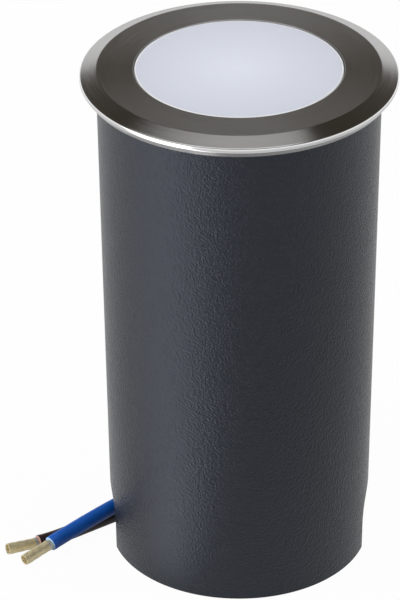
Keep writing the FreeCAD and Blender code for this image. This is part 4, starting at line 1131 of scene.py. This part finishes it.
GLAND_STEPS = 96
GLAND_SHARP_ANGLE = math.radians(28)
GLAND_BODY_CORNER = 0.0095
GLAND_NUT_CORNER = 0.0092
GLAND_BODY_PROFILE = [
    (0.0050, 0.0430, 0.0001), (0.0066, 0.0430, 0.0002), (0.0066, 0.0510, 0),
    (GLAND_BODY_CORNER, 0.0510, 0.0007), (GLAND_BODY_CORNER, 0.0550, 0.0007),
    (0.0066, 0.0550, 0), (0.0066, 0.0635, 0.0002), (0.0050, 0.0635, 0.0001),
]
GLAND_NUT_PROFILE = [
    (0.0050, 0.0380, 0.0002), (0.0068, 0.0380, 0.0010), (0.00785, 0.0426, 0.0002),
    (GLAND_NUT_CORNER, 0.0426, 0.0007), (GLAND_NUT_CORNER, 0.0506, 0.0007),
    (0.0067, 0.0506, 0.0002), (0.0067, 0.0410, 0), (0.0050, 0.0410, 0),
]


def hexagonal(mesh, corner):
    """Brings in whatever stands outside a hexagon with its corners at this distance."""
    flat = corner * math.cos(math.pi / 6)
    for vertex in mesh.vertices:
        turn = math.atan2(vertex.co.y, vertex.co.x) % (math.pi / 3) - math.pi / 6
        limit = flat / math.cos(turn)
        if vertex.co.xy.length > limit:
            vertex.co.xy *= limit / vertex.co.xy.length
    mesh.set_sharp_from_angle(angle=GLAND_SHARP_ANGLE)
    return mesh


nickel = mottled(
    "nickel_plated_brass", colours=((0.46, 0.44, 0.40), (0.52, 0.50, 0.46)), grain=0.003,
    gloss=(0.22, 0.30), bump=0.000002, Metallic=1.0)
for node, name, profile, corner in (
    ("gland_body", "hexagon_gland_body", GLAND_BODY_PROFILE, GLAND_BODY_CORNER),
    ("gland_nut", "domed_gland_nut", GLAND_NUT_PROFILE, GLAND_NUT_CORNER),
):
    round_bar = turned(name, softened_profile(profile), GLAND_STEPS)
    piece = new_object(name, hexagonal(round_bar, corner))
    piece.data.materials.append(nickel)
    fit(piece, "brass_nickel", node)
    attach(piece, "head")
paint("gland_locknut", nickel)
paint("gland_washer", rubber)
paint("gland_insert", rubber)

# Cap screws: steel pan heads with a cross recess. Four hold the cap up against its seal,
# and screw into the housing's wall.

CAP_SCREW_COUNT = 4
CAP_SCREW_HEAD = (0.0021, 0.0016)
CAP_SCREW_SHANK = (0.0012, 0.0110)
CAP_SCREW_CIRCLE = 0.023348
CAP_SCREW_SEAT = 0.0560

hanging = Matrix.Translation((CAP_SCREW_CIRCLE, 0, CAP_SCREW_SEAT))
hanging = hanging @ Matrix.Rotation(math.pi, 4, "X")
cap_screw = screw_mesh("cap_screw", CAP_SCREW_HEAD, CAP_SCREW_SHANK)
cap_screws = new_object(
    "cross_head_cap_screws",
    repeated("cross_head_cap_screws", cap_screw, round_the_axis(CAP_SCREW_COUNT, hanging)))
cap_screws.data.materials.append(screw_steel)
fit(cap_screws, "screw_steel", "cap_screws")
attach(cap_screws, "head")
